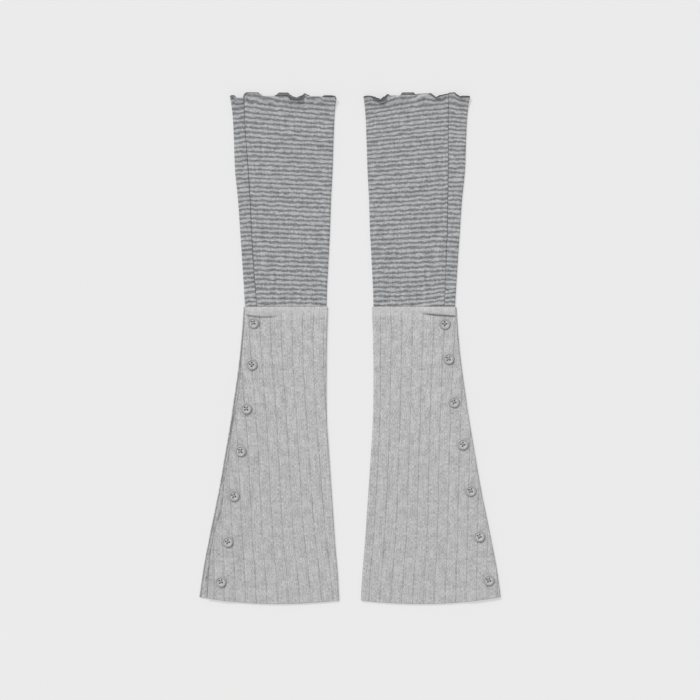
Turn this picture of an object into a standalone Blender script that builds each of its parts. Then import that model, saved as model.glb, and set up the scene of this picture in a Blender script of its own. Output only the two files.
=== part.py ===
"""A pair of leg warmers laid flat on a table, side by side, with their buttoned sides outward.

Each leg warmer is sewn from two cut pieces of knit. The upper one is a tube of striped jersey
with one lengthwise seam and a ruffled top edge. The lower one is a flared panel of wide rib,
wrapped round from a free front edge to an underlap and closed by seven four-hole buttons.

Metres, +Z up off the table, +Y towards the tops, X across the pair. Distances "up" are measured
from the lowest point of the hems, and distances "out" from the line midway between the two.
"""

import math

import bmesh
import bpy
import numpy as np

MM = 0.001

# Cloth: wall thicknesses, and the air left between layers that lie on each other
JERSEY_WALL = 1.0 * MM
RIB_WALL = 1.2 * MM
SEAM_GAP = 0.3 * MM
LAYER_GAP = 0.5 * MM
LAP_GAP = 0.3 * MM

# Lengths up from the hems' lowest point
JOIN_UP = 306.4 * MM
TOP_UP = 523.2 * MM
TALLEST_RUFFLE = 3.7 * MM
CENTRE_UP = (TOP_UP + TALLEST_RUFFLE) / 2

# The hem is bowed: it rises from its lowest point towards both corners
HEM_LOW_OUT = 75.0 * MM
HEM_INNER_OUT = 11.2 * MM
HEM_OUTER_OUT = 155.4 * MM
HEM_INNER_RISE = 3.6 * MM
HEM_OUTER_RISE = 7.2 * MM

# Placket: the underlap reaches in behind the overlap, whose cloth climbs over it on a soft ramp
UNDERLAP_DEPTH = 26.0 * MM
PLACKET_RAMP = 14.0 * MM
PLACKET_CLEAR = 1.0 * MM

# Just under the join a hump covers the seam allowance, and a crease closes it off
HUMP_UP = 302.0 * MM
HUMP_HEIGHT = 0.35 * MM
HUMP_SPREAD = 3.5 * MM
CREASE_UP = 296.0 * MM
CREASE_DEPTH = 0.28 * MM
CREASE_SPREAD = 1.5 * MM
CREASE_FAINT = 0.25

# Soft swell beside each fold, the dip at the lengthwise seam, and the rise at the join
FOLD_SWELL = 0.3 * MM
FOLD_SPREAD = 9.0 * MM
SEAM_DIP = 0.25 * MM
SEAM_SPREAD = 1.2 * MM
JOIN_RISE = 1.0 * MM
JOIN_SPREAD = 14.0 * MM

# Ribs: flat wide ribs parted by narrow grooves, as shares of the pitch from one groove to the next
RIB_RISE = 0.35 * MM
RIB_SHOULDER = 0.09
RIB_SHARES = (0.0, RIB_SHOULDER, 0.5, 1.0 - RIB_SHOULDER)
RIB_PROFILE = (0.0, 0.85, 1.0, 0.85)
LEAST_STRIP = 0.6 * MM

# Ruffle: how far down its waves die out, how they lift, and how the front stands off the back
REACH_SPREAD = 9.0 * MM
LIFT_SPREAD = 8.0 * MM
LIFT_SHARE = 0.75
FLAT_REACH = 3.3 * MM
FRONT_STANDOFF = 1.2 * MM
BACK_SHORTER = 0.8 * MM
BACK_LIFT_SHARE = 0.85

# Buttons
BUTTON_RADIUS = 5.75 * MM
BUTTON_SIDES = 16
SEAT_RINGS = 5
HOLES = 4
HOLE_RADIUS = 0.8 * MM
HOLE_SIDES = 6
HOLE_OFFSET = 1.25 * MM
CUTTER_LENGTH = 8.0 * MM

# A lap is a position round a wall: the front, the inner fold, the back, the outer fold, the end
FRONT_END, FOLD_END, BACK_END, TURN_END, LAP_END = 1.0, 2.0, 3.0, 4.0, 5.0
FOLD_STEPS = 4

# Rows down the striped tube from its top line, and steps on its front, back and side strip
RUFFLE_DROPS = np.array([0.0, 2.2, 5.0, 8.5, 13.0, 20.0]) * MM
PLAIN_DROPS = np.array([45.0, 80.0, 120.0, 160.0, 190.0, 207.0]) * MM
RUFFLE_STEPS = (40, 24, 6)
PLAIN_STEPS = (10, 6, 3)
BESIDE_SEAM = (0.022, 4.86)

# Rows up the rib panel from its hem, those about its crease, and steps on its back and underlap
PANEL_ROWS = np.array([0.0, 30.0, 60.0, 90.0, 122.0, 154.0, 186.0, 218.0, 250.0, 277.0]) * MM
CREASE_ROWS = CREASE_UP + np.array([-5.5, -2.2, 0.0, 2.2]) * MM
BACK_STEPS = 6
UNDERLAP_STEPS = 3
PAST_RIBS = 10.0

# Edges sharper than these stay crisp when the surfaces are shaded smooth
CLOTH_CRISP = math.radians(50)
BUTTON_CRISP = math.radians(40)

# A step small enough to read a surface's slope
PROBE = 1e-3
PROBE_UP = 0.2 * MM


def table(names, *rows):
    """A table written in millimetres, as named columns in metres."""
    values = np.array(rows, float) * MM
    return dict(zip(names.split(), values.T))


def read(columns, name, at):
    """The named column at distances along the first one, on a smooth curve through the rows."""
    knots = next(iter(columns.values()))
    values = columns[name]
    slopes = np.gradient(values, knots)
    at = np.clip(at, knots[0], knots[-1])
    cell = np.clip(np.searchsorted(knots, at) - 1, 0, len(knots) - 2)
    span = knots[cell + 1] - knots[cell]
    t = (at - knots[cell]) / span
    start = values[cell] * (1 + 2 * t) * (1 - t) ** 2 + values[cell + 1] * t * t * (3 - 2 * t)
    return start + span * (slopes[cell] * t * (1 - t) ** 2 - slopes[cell + 1] * t * t * (1 - t))


def ease(t):
    """A soft step from 0 to 1 as t goes from 0 to 1."""
    t = np.clip(t, 0.0, 1.0)
    return t * t * (3 - 2 * t)


def bell(distance, spread):
    """A soft bump, 1 in the middle."""
    return np.exp(-(distance / spread) ** 2)


RIB_OUTLINE = table(
    "up inner outer",
    (0.0, 11.2, 155.4),
    (29.9, 12.9, 151.4),
    (60.8, 15.5, 145.9),
    (91.7, 17.5, 139.8),
    (122.6, 19.6, 133.9),
    (153.5, 21.6, 128.8),
    (184.4, 23.5, 123.6),
    (215.3, 24.3, 119.1),
    (246.2, 24.2, 114.9),
    (277.1, 23.7, 111.8),
    (306.4, 22.7, 109.8),
)

STRIPED_OUTLINE = table(
    "up inner outer",
    (306.4, 24.2, 108.2),
    (323.4, 23.7, 109.2),
    (354.3, 22.1, 111.2),
    (385.2, 20.6, 113.3),
    (416.1, 19.6, 115.4),
    (447.0, 18.0, 118.5),
    (477.9, 17.0, 119.6),
    (508.8, 15.5, 121.5),
    (523.2, 13.9, 123.6),
)

LENGTHWISE_SEAM = table(
    "up left right",
    (306.4, 95.8, 97.4),
    (338.9, 98.6, 98.6),
    (379.0, 101.2, 100.2),
    (416.1, 102.8, 100.9),
    (455.3, 105.4, 101.4),
    (495.4, 108.3, 101.4),
    (523.2, 109.2, 101.6),
)

# How far inside the outer fold the overlap's free edge lies
OVERLAP_INSET = table(
    "up left right",
    (0.0, 8.4, 1.0),
    (30.0, 5.9, 1.0),
    (60.0, 4.9, 1.0),
    (90.0, 6.6, 1.0),
    (120.0, 3.8, 1.0),
    (150.0, 3.9, 1.0),
    (184.0, 1.6, 1.0),
    (210.0, 3.2, 1.0),
    (250.0, 1.8, 1.3),
    (306.4, 2.0, 2.0),
)

# Distance from one rib groove to the next, and from the inner fold to the first groove
RIB_LAYOUT = table(
    "up pitch left right",
    (0.0, 11.1, -5.2, 7.8),
    (40.2, 10.8, -3.8, 7.9),
    (81.4, 10.6, -1.9, 7.9),
    (122.6, 10.5, -1.0, 8.0),
    (163.8, 10.4, -0.5, 7.6),
    (205.0, 10.4, 1.0, 7.1),
    (246.2, 10.6, 2.8, 7.3),
    (287.4, 11.0, 3.3, 8.0),
    (306.4, 11.1, 3.4, 8.1),
)

# The ruffled edge: how far each wave reaches above the top line, place by place across the tube
RUFFLES = {
    "left": table(
        "out reach",
        (14.4, -2.5),
        (22.7, 0.7),
        (35.5, -0.8),
        (46.4, 2.0),
        (54.6, -3.5),
        (68.0, 3.3),
        (85.5, 0.0),
        (101.0, 3.1),
        (115.4, -2.0),
        (121.5, 1.0),
    ),
    "right": table(
        "out reach",
        (14.4, -0.8),
        (22.7, 0.2),
        (31.4, -3.0),
        (38.8, 1.8),
        (46.4, 0.2),
        (59.7, 3.7),
        (74.2, 2.0),
        (83.9, 2.8),
        (88.2, -1.3),
        (99.7, 2.0),
        (106.1, 3.7),
        (112.3, -0.8),
        (123.6, -0.8),
    ),
}

BUTTONS = {
    "left": table(
        "out up",
        (99.4, 289.7),
        (101.1, 246.7),
        (106.8, 201.3),
        (112.6, 157.6),
        (119.6, 111.5),
        (126.0, 64.2),
        (133.0, 23.3),
    ),
    "right": table(
        "out up",
        (97.4, 288.6),
        (101.4, 252.5),
        (107.1, 208.1),
        (116.1, 164.4),
        (124.1, 116.8),
        (133.1, 69.8),
        (142.7, 24.8),
    ),
}

# The button's turned profile, from the middle of its underside round to the middle of its face
BUTTON_PROFILE = table(
    "radius height",
    (4.7, 0.0),
    (5.75, 0.7),
    (5.75, 1.5),
    (5.1, 2.2),
    (4.3, 2.1),
    (3.6, 1.5),
)

SIDES = {"left": -1.0, "right": 1.0}


def fold_radius(height, wall):
    """Radius of the half circle that joins the back layer to the layer at this height."""
    return (height - wall / 2) / 2


def flat_wrap(lap, start, inner, outer, end, wall, front, under):
    """Out and height of a cloth that is wrapped flat: front, inner fold, back, outer fold, end.

    The back lies on the table. Each fold is a half circle between the layers it joins, which is
    placed so that the cloth's outside just reaches the outline.
    """
    back = wall / 2
    inner_radius = fold_radius(front(inner + 2 * wall), wall)
    inner_middle = inner + wall / 2 + inner_radius
    outer_radius = fold_radius(under(outer - 2 * wall), wall)
    outer_middle = outer - wall / 2 - outer_radius

    front_out = start + (inner_middle - start) * lap
    inner_turn = math.pi * (lap - FRONT_END)
    back_out = inner_middle + (outer_middle - inner_middle) * (lap - FOLD_END)
    outer_turn = math.pi * (lap - BACK_END)
    end_out = outer_middle + (end - outer_middle) * (lap - TURN_END)

    on = [lap <= FRONT_END, lap <= FOLD_END, lap <= BACK_END, lap <= TURN_END]
    out = np.select(
        on,
        [
            front_out,
            inner_middle - inner_radius * np.sin(inner_turn),
            back_out,
            outer_middle + outer_radius * np.sin(outer_turn),
        ],
        end_out,
    )
    height = np.select(
        on,
        [
            front(front_out),
            back + inner_radius * (1 + np.cos(inner_turn)),
            np.full(np.shape(lap), back),
            back + outer_radius * (1 - np.cos(outer_turn)),
        ],
        under(end_out),
    )
    return out, height


def back_share(lap):
    """1 on the back layer and 0 on the front ones, passing softly from one to the other in the folds."""
    return ease(lap - FRONT_END) * (1 - ease(lap - BACK_END))


def placket_ramp(out, up):
    """1 where the underlap lies beneath, and 0 inwards of the ramp."""
    edge = read(RIB_OUTLINE, "outer", up) - UNDERLAP_DEPTH
    return ease((out - edge + PLACKET_RAMP) / (PLACKET_RAMP - PLACKET_CLEAR))


def rib_front_height(out, up):
    """Middle of the rib panel's front layer above the table."""
    plain = 1.5 * RIB_WALL + LAYER_GAP
    overlap = 2.5 * RIB_WALL + LAP_GAP + LAYER_GAP
    ramp = placket_ramp(out, up)
    swell = FOLD_SWELL * bell(out - read(RIB_OUTLINE, "inner", up), FOLD_SPREAD)
    hump = HUMP_HEIGHT * bell(up - HUMP_UP, HUMP_SPREAD)
    crease = CREASE_DEPTH * bell(up - CREASE_UP, CREASE_SPREAD)
    allowance = (hump - crease) * (CREASE_FAINT + (1 - CREASE_FAINT) * ramp)
    return plain + (overlap - plain) * ramp + swell + allowance


def rib_hem(out):
    """How far the bowed hem rises above its lowest point."""
    inner = HEM_INNER_RISE * ((HEM_LOW_OUT - out) / (HEM_LOW_OUT - HEM_INNER_OUT)) ** 2
    outer = HEM_OUTER_RISE * ((out - HEM_LOW_OUT) / (HEM_OUTER_OUT - HEM_LOW_OUT)) ** 2
    return np.where(out < HEM_LOW_OUT, inner, outer)


def overlap_edge(side, up):
    """Where the rib panel's free front edge lies."""
    return read(RIB_OUTLINE, "outer", up) - read(OVERLAP_INSET, side, up)


def rib_surface(side, lap, up):
    """Middle of the rib panel's wall: the lap starts at the overlap's edge and ends in the underlap."""
    outer = read(RIB_OUTLINE, "outer", up)
    underlap = 1.5 * RIB_WALL + LAP_GAP
    out, height = flat_wrap(
        lap,
        overlap_edge(side, up),
        read(RIB_OUTLINE, "inner", up),
        outer,
        outer - UNDERLAP_DEPTH,
        RIB_WALL,
        lambda at: rib_front_height(at, up),
        lambda at: np.full(np.shape(at), underlap),
    )
    bowed_up = up + rib_hem(out) * (1 - up / JOIN_UP)
    return np.stack([SIDES[side] * out, bowed_up - CENTRE_UP, height], axis=-1)


def striped_front_height(side, out, up):
    """Middle of the striped tube's front layer above the table, without its ruffle."""
    plain = 1.5 * JERSEY_WALL + LAYER_GAP
    inner = read(STRIPED_OUTLINE, "inner", up)
    outer = read(STRIPED_OUTLINE, "outer", up)
    swell = FOLD_SWELL * (bell(out - inner, FOLD_SPREAD) + bell(outer - out, FOLD_SPREAD))
    dip = SEAM_DIP * bell(out - read(LENGTHWISE_SEAM, side, up), SEAM_SPREAD)
    rise = JOIN_RISE * placket_ramp(out, JOIN_UP) * np.exp(-(up - JOIN_UP) / JOIN_SPREAD)
    return plain + swell - dip + rise


def striped_surface(side, lap, up):
    """Middle of the striped tube's wall: the lap starts and ends at the lengthwise seam."""
    seam = read(LENGTHWISE_SEAM, side, up)
    out, height = flat_wrap(
        lap,
        seam - SEAM_GAP / 2,
        read(STRIPED_OUTLINE, "inner", up),
        read(STRIPED_OUTLINE, "outer", up),
        seam + SEAM_GAP / 2,
        JERSEY_WALL,
        lambda at: striped_front_height(side, at, up),
        lambda at: striped_front_height(side, at, up),
    )
    below_top = TOP_UP - up
    behind = back_share(lap)
    reach = read(RUFFLES[side], "reach", out)
    lift = LIFT_SHARE * np.maximum(FLAT_REACH - reach, 0.0) * (1 - behind * (1 - BACK_LIFT_SHARE))
    lift = lift + FRONT_STANDOFF * (1 - behind)
    ruffled_up = up + (reach - BACK_SHORTER * behind) * bell(below_top, REACH_SPREAD)
    height = height + lift * bell(below_top, LIFT_SPREAD)
    return np.stack([SIDES[side] * out, ruffled_up - CENTRE_UP, height], axis=-1)


def outward(surface, side, lap, up):
    """Unit vectors out of the cloth, across the surface's slopes along the lap and up the leg."""
    along = surface(side, np.minimum(lap + PROBE, LAP_END), up)
    along = along - surface(side, np.maximum(lap - PROBE, 0.0), up)
    upward = surface(side, lap, up + PROBE_UP) - surface(side, lap, up - PROBE_UP)
    normal = SIDES[side] * np.cross(upward, along)
    return normal / np.linalg.norm(normal, axis=-1, keepdims=True)


def steps(start, end, count):
    """Evenly spaced positions from start up to, but not including, end."""
    return start + (end - start) * np.arange(count) / count


def tube_laps(front, back, strip):
    """Positions round the striped tube, with one more on each side of its seam."""
    parts = [
        steps(0.0, FRONT_END, front),
        steps(FRONT_END, FOLD_END, FOLD_STEPS),
        steps(FOLD_END, BACK_END, back),
        steps(BACK_END, TURN_END, FOLD_STEPS),
        steps(TURN_END, LAP_END, strip),
        [LAP_END],
        BESIDE_SEAM,
    ]
    return np.unique(np.concatenate(parts))


def rib_laps(side, up):
    """Positions round the rib panel on its ribbed outside and on its plain inside, with their order.

    The order counts ribs on the front, so that each groove runs on from row to row, and it
    follows the lap round the rest.
    """
    inner = read(RIB_OUTLINE, "inner", up)
    edge = overlap_edge(side, up)
    pitch = read(RIB_LAYOUT, "pitch", up)
    first = inner + read(RIB_LAYOUT, side, up)
    fold = inner + RIB_WALL / 2 + fold_radius(rib_front_height(inner + 2 * RIB_WALL, up), RIB_WALL)
    count = int((edge - first) / pitch) + 2
    ribs = (np.arange(-1, count)[:, None] + np.array(RIB_SHARES)).ravel()
    middles = np.arange(-1, count) + RIB_SHARES[2]
    rest = np.concatenate([
        steps(FRONT_END, FOLD_END, FOLD_STEPS)[1:],
        steps(FOLD_END, BACK_END, BACK_STEPS),
        steps(BACK_END, TURN_END, FOLD_STEPS),
        steps(TURN_END, LAP_END, UNDERLAP_STEPS),
        [LAP_END],
    ])

    def ordered(counted):
        """The front's columns that lie well inside its two ends, then the ends and the rest."""
        at = first + pitch * counted
        inside = counted[(at > fold + LEAST_STRIP) & (at < edge - LEAST_STRIP)]
        shown = np.concatenate([[(edge - first) / pitch], inside[::-1], [(fold - first) / pitch]])
        lap = (edge - first - pitch * shown) / (edge - fold)
        return np.concatenate([lap, rest]), np.concatenate([-shown, PAST_RIBS + rest])

    return ordered(ribs), ordered(middles)


def rib_relief(lap, order):
    """How far the ribs stand out: nothing in a groove, and dying out round the inner fold."""
    ribbed = np.interp(-order % 1.0, RIB_SHARES + (1.0,), RIB_PROFILE + (0.0,))
    profile = np.where(lap <= FRONT_END, ribbed, RIB_PROFILE[1])
    return RIB_RISE * profile * np.clip(FOLD_END - lap, 0.0, 1.0)


def ladder(lower, upper, lower_order, upper_order):
    """Faces between two rows of points, stepping along whichever row is behind in order."""
    faces = []
    i = 0
    j = 0
    while i < len(lower) - 1 or j < len(upper) - 1:
        next_lower = lower_order[i + 1] if i < len(lower) - 1 else math.inf
        next_upper = upper_order[j + 1] if j < len(upper) - 1 else math.inf
        if abs(next_lower - next_upper) < PROBE:
            faces.append((lower[i], lower[i + 1], upper[j + 1], upper[j]))
            i += 1
            j += 1
        elif next_lower < next_upper:
            faces.append((lower[i], lower[i + 1], upper[j]))
            i += 1
        else:
            faces.append((lower[i], upper[j + 1], upper[j]))
            j += 1
    return faces


def cloth_wall(name, rows, material):
    """One closed wall from rows of outside and inside points, each with its order along the row."""
    points = []
    numbered = []
    total = 0
    for row in rows:
        ids = []
        for layer, _ in row:
            ids.append(list(range(total, total + len(layer))))
            points.append(layer)
            total += len(layer)
        numbered.append(ids)
    faces = []
    for layer in (0, 1):
        for j in range(len(rows) - 1):
            lower, upper = numbered[j][layer], numbered[j + 1][layer]
            faces += ladder(lower, upper, rows[j][layer][1], rows[j + 1][layer][1])
    for row, ids in ((rows[0], numbered[0]), (rows[-1], numbered[-1])):
        faces += ladder(ids[0], ids[1], row[0][1], row[1][1])
    for end in (0, -1):
        for below, above in zip(numbered, numbered[1:]):
            faces.append((below[0][end], above[0][end], above[1][end], below[1][end]))

    mesh = bpy.data.meshes.new(name)
    mesh.from_pydata(np.concatenate(points).tolist(), [], faces)
    work = bmesh.new()
    work.from_mesh(mesh)
    bmesh.ops.triangulate(work, faces=work.faces[:], quad_method="SHORT_EDGE")
    bmesh.ops.recalc_face_normals(work, faces=work.faces[:])
    work.to_mesh(mesh)
    work.free()
    mesh.shade_smooth()
    mesh.set_sharp_from_angle(angle=CLOTH_CRISP)
    return add_object(name, mesh, material)


def add_object(name, mesh, material):
    """A new object in the scene with this mesh and material, parented to the pair."""
    if not mesh.materials:
        mesh.materials.append(material)
    thing = bpy.data.objects.new(name, mesh)
    bpy.context.scene.collection.objects.link(thing)
    thing.parent = bpy.data.objects["pair_of_leg_warmers"]
    return thing


def make_material(name, colour, roughness):
    """A plain Principled finish."""
    material = bpy.data.materials.new(name)
    material.use_nodes = True
    shader = material.node_tree.nodes["Principled BSDF"]
    shader.inputs["Base Color"].default_value = (*colour, 1.0)
    shader.inputs["Roughness"].default_value = roughness
    shader.inputs["Metallic"].default_value = 0.0
    material.diffuse_color = (*colour, 1.0)
    return material


def make_striped_tube(side, material):
    """The tube of striped jersey: close columns through the ruffle, then few down the plain leg."""
    close = tube_laps(*RUFFLE_STEPS)
    wide = tube_laps(*PLAIN_STEPS)
    last = TOP_UP - JOIN_UP - SEAM_GAP / 2
    drops = [(drop, close) for drop in RUFFLE_DROPS]
    drops += [(drop, wide) for drop in (*PLAIN_DROPS, last)]
    rows = []
    for drop, lap in reversed(drops):
        up = np.full(lap.shape, TOP_UP - drop)
        middle = striped_surface(side, lap, up)
        half = JERSEY_WALL / 2 * outward(striped_surface, side, lap, up)
        rows.append(((middle + half, lap), (middle - half, lap)))
    return cloth_wall(f"striped_tube_{side}", rows, material)


def make_rib_panel(side, material):
    """The flared panel of wide rib, with its ribs raised in the outside of the front."""
    rows = []
    for level in (*PANEL_ROWS, *CREASE_ROWS, HUMP_UP, JOIN_UP - SEAM_GAP / 2):
        row = []
        for face, (lap, order) in zip((1.0, -1.0), rib_laps(side, level)):
            up = np.full(lap.shape, level)
            offset = np.full(lap.shape, RIB_WALL / 2)
            if face > 0:
                offset = offset + rib_relief(lap, order)
            normal = outward(rib_surface, side, lap, up)
            row.append((rib_surface(side, lap, up) + face * offset[:, None] * normal, order))
        rows.append(row)
    return cloth_wall(f"rib_panel_{side}", rows, material)


def turned_disc():
    """The button before its holes are drilled: its profile spun round Z, closed by two flat faces."""
    work = bmesh.new()
    profile = list(zip(BUTTON_PROFILE["radius"], BUTTON_PROFILE["height"]))
    corners = [work.verts.new((radius, 0.0, height)) for radius, height in profile]
    edges = [work.edges.new(pair) for pair in zip(corners, corners[1:])]
    bmesh.ops.spin(
        work,
        geom=corners + edges,
        cent=(0.0, 0.0, 0.0),
        axis=(0.0, 0.0, 1.0),
        angle=math.tau,
        steps=BUTTON_SIDES,
        use_merge=True,
    )
    bmesh.ops.remove_doubles(work, verts=work.verts[:], dist=0.01 * MM)
    bmesh.ops.holes_fill(work, edges=work.edges[:], sides=0)
    bmesh.ops.recalc_face_normals(work, faces=work.faces[:])
    mesh = bpy.data.meshes.new("button_blank")
    work.to_mesh(mesh)
    work.free()
    return mesh


def drill_bits():
    """Four short rods that stand where the button's holes go."""
    work = bmesh.new()
    for hole in range(HOLES):
        angle = math.tau * (hole + 0.5) / HOLES
        rod = bmesh.ops.create_cone(
            work,
            cap_ends=True,
            segments=HOLE_SIDES,
            radius1=HOLE_RADIUS,
            radius2=HOLE_RADIUS,
            depth=CUTTER_LENGTH,
        )
        place = (
            math.sqrt(2) * HOLE_OFFSET * math.cos(angle),
            math.sqrt(2) * HOLE_OFFSET * math.sin(angle),
            0.0,
        )
        bmesh.ops.translate(work, verts=rod["verts"], vec=place)
    mesh = bpy.data.meshes.new("button_holes")
    work.to_mesh(mesh)
    work.free()
    return mesh


def drilled_button(material):
    """The mesh that all buttons share: the turned disc less its four holes."""
    blank = add_object("button_blank", turned_disc(), material)
    bits = add_object("button_holes", drill_bits(), material)
    cut = blank.modifiers.new("holes", "BOOLEAN")
    cut.operation = "DIFFERENCE"
    cut.solver = "EXACT"
    cut.object = bits
    bpy.context.view_layer.update()
    seen = blank.evaluated_get(bpy.context.evaluated_depsgraph_get())
    mesh = bpy.data.meshes.new_from_object(seen)
    mesh.name = "button"
    mesh.shade_smooth()
    mesh.set_sharp_from_angle(angle=BUTTON_CRISP)
    for helper in (blank, bits):
        bpy.data.objects.remove(helper)
    return mesh


def button_seat(out, up):
    """The height at which a level button just clears the cloth that it lies on."""
    angle = steps(0.0, math.tau, BUTTON_SIDES)
    radius = BUTTON_RADIUS * np.linspace(0.0, 1.0, SEAT_RINGS)[:, None]
    heights = rib_front_height(out + radius * np.cos(angle), up + radius * np.sin(angle))
    return heights.max() + RIB_WALL / 2 + RIB_RISE + SEAM_GAP


def make_buttons(side, mesh, material):
    """Seven buttons down the placket, from the top one to the one above the hem."""
    places = zip(BUTTONS[side]["out"], BUTTONS[side]["up"])
    for number, (out, up) in enumerate(places, start=1):
        button = add_object(f"button_{side}_{number}", mesh, material)
        button.location = (SIDES[side] * out, up - CENTRE_UP, button_seat(out, up))


def main():
    """Clear the scene, then make both leg warmers."""
    for thing in list(bpy.data.objects):
        bpy.data.objects.remove(thing)
    pair = bpy.data.objects.new("pair_of_leg_warmers", None)
    bpy.context.scene.collection.objects.link(pair)

    jersey = make_material("striped_jersey", (0.31, 0.31, 0.32), 0.92)
    rib = make_material("heather_rib", (0.46, 0.455, 0.46), 0.95)
    resin = make_material("button_resin", (0.44, 0.44, 0.44), 0.38)
    button = drilled_button(resin)
    for side in SIDES:
        make_striped_tube(side, jersey)
        make_rib_panel(side, rib)
        make_buttons(side, button, resin)


main()
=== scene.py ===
# %% [markdown]
# This lesson dresses a pair of knitted leg warmers that lie flat on a table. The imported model
# holds their plain solids, in metres, with +Y towards the tops and +Z up off the table. It is
# loaded first and never moved, so each piece that is made here goes where its solid is.

# %% Load the plain model
import math

import bmesh
import bpy
import numpy as np
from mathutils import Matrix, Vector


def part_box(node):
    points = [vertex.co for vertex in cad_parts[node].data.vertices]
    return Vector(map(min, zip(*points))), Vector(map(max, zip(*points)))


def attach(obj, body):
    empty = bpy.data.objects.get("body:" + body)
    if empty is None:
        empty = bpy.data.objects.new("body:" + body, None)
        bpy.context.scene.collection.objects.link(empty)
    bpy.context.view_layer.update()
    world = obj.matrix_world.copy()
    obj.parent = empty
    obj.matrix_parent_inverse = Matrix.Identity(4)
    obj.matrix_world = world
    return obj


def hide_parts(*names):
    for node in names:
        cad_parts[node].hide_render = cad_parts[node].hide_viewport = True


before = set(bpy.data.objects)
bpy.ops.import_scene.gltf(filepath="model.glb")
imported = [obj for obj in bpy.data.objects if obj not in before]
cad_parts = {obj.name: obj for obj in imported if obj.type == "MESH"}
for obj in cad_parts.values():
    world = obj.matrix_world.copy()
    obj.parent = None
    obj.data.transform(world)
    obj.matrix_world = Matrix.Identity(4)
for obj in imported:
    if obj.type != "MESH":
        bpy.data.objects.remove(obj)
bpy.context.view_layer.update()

MM = 0.001

# %% [markdown]
# The garment was photographed from straight above. A long lens high over the table keeps the
# view almost without perspective, so the leg warmers keep their real outline in the picture.
# The lens follows from one length: how much cloth each pixel of the photograph covers.

# %% Camera
CLOTH_PER_PIXEL = 1.03 * MM
PICTURE_PIXELS = 700
CAMERA_HEIGHT = 2.6
CLOTH_LEVEL = 3.0 * MM
PICTURE_MIDDLE_Y = -1.8 * MM

camera_data = bpy.data.cameras.new("camera")
picture_width = PICTURE_PIXELS * CLOTH_PER_PIXEL
camera_data.lens = camera_data.sensor_width * (CAMERA_HEIGHT - CLOTH_LEVEL) / picture_width
camera = bpy.data.objects.new("camera", camera_data)
camera.location = (0.0, PICTURE_MIDDLE_Y, CAMERA_HEIGHT)
bpy.context.scene.collection.objects.link(camera)
bpy.context.scene.camera = camera
print(f"the picture is {picture_width:.3f} m wide at the cloth, through a {camera_data.lens:.0f} mm lens")

# %% [markdown]
# A catalogue picture has an even pale ground and hardly any shadow. Two lights give that here:
# a plain sky that lights everything evenly, and one very wide soft lamp from the upper left,
# which is just strong enough to shape the folds and the buttons' rims. The table gets a faint
# glow of painted light later, with its finish, which fades the shadows on it.

# %% Floor and light
FLOOR_HALF = 4.0
SKY_LIGHT = 0.56
LAMP_LIGHT = 1.8
LAMP_ANGLE = math.radians(16)
LAMP_TILT = (math.radians(-32), math.radians(-26), 0.0)


def new_object(name, mesh):
    """A new object with this mesh, in the scene."""
    thing = bpy.data.objects.new(name, mesh)
    bpy.context.scene.collection.objects.link(thing)
    return thing


floor_mesh = bpy.data.meshes.new("floor")
corners = FLOOR_HALF * np.array([(-1, -1, 0), (1, -1, 0), (1, 1, 0), (-1, 1, 0)], float)
floor_mesh.from_pydata(corners.tolist(), [], [(0, 1, 2, 3)])
floor = new_object("floor", floor_mesh)

lamp_data = bpy.data.lights.new("wide_lamp", "SUN")
lamp_data.energy = LAMP_LIGHT
lamp_data.angle = LAMP_ANGLE
lamp = new_object("wide_lamp", lamp_data)
lamp.rotation_euler = LAMP_TILT

sky = bpy.data.worlds.new("sky")
sky.use_nodes = True
sky.node_tree.nodes["Background"].inputs["Color"].default_value = (1.0, 1.0, 1.0, 1.0)
sky.node_tree.nodes["Background"].inputs["Strength"].default_value = SKY_LIGHT
bpy.context.scene.world = sky
bpy.context.scene.view_settings.view_transform = "Standard"

# %% [markdown]
# The sizes below are the maker's: outlines, seams and layers, in millimetres. "Up" is measured
# from the lowest point of the hems and "out" from the line midway between the two leg warmers.
# Few rows are enough, because a smooth curve is read through them.

# %% Sizes of the cloth
JERSEY_WALL = 1.0 * MM
RIB_WALL = 1.2 * MM
LAYER_GAP = 0.5 * MM
LAP_GAP = 0.3 * MM
SEAM_GAP = 0.12 * MM
JOIN_UP = 306.4 * MM
TOP_UP = 523.2 * MM
CENTRE_UP = 263.45 * MM
HEM_LOW_OUT, HEM_INNER_OUT, HEM_OUTER_OUT = 75.0 * MM, 11.2 * MM, 155.4 * MM
HEM_INNER_RISE, HEM_OUTER_RISE = 3.6 * MM, 7.2 * MM
UNDERLAP_DEPTH = 26.0 * MM
PLACKET_RAMP, PLACKET_CLEAR = 14.0 * MM, 1.0 * MM
SIDES = {"left": -1.0, "right": 1.0}


def table(names, *rows):
    """A table written in millimetres, as named columns in metres."""
    values = np.array(rows, float) * MM
    return dict(zip(names.split(), values.T))


def read(columns, name, at):
    """The named column at distances along the first one, on a smooth curve through the rows."""
    knots = next(iter(columns.values()))
    values = columns[name]
    slopes = np.gradient(values, knots)
    at = np.clip(at, knots[0], knots[-1])
    cell = np.clip(np.searchsorted(knots, at) - 1, 0, len(knots) - 2)
    span = knots[cell + 1] - knots[cell]
    t = (at - knots[cell]) / span
    start = values[cell] * (1 + 2 * t) * (1 - t) ** 2 + values[cell + 1] * t * t * (3 - 2 * t)
    return start + span * (slopes[cell] * t * (1 - t) ** 2 - slopes[cell + 1] * t * t * (1 - t))


def ease(t):
    """A soft step from 0 to 1 as t goes from 0 to 1."""
    t = np.clip(t, 0.0, 1.0)
    return t * t * (3 - 2 * t)


def bell(distance, spread):
    """A soft bump, 1 in the middle."""
    return np.exp(-(distance / spread) ** 2)


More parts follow.
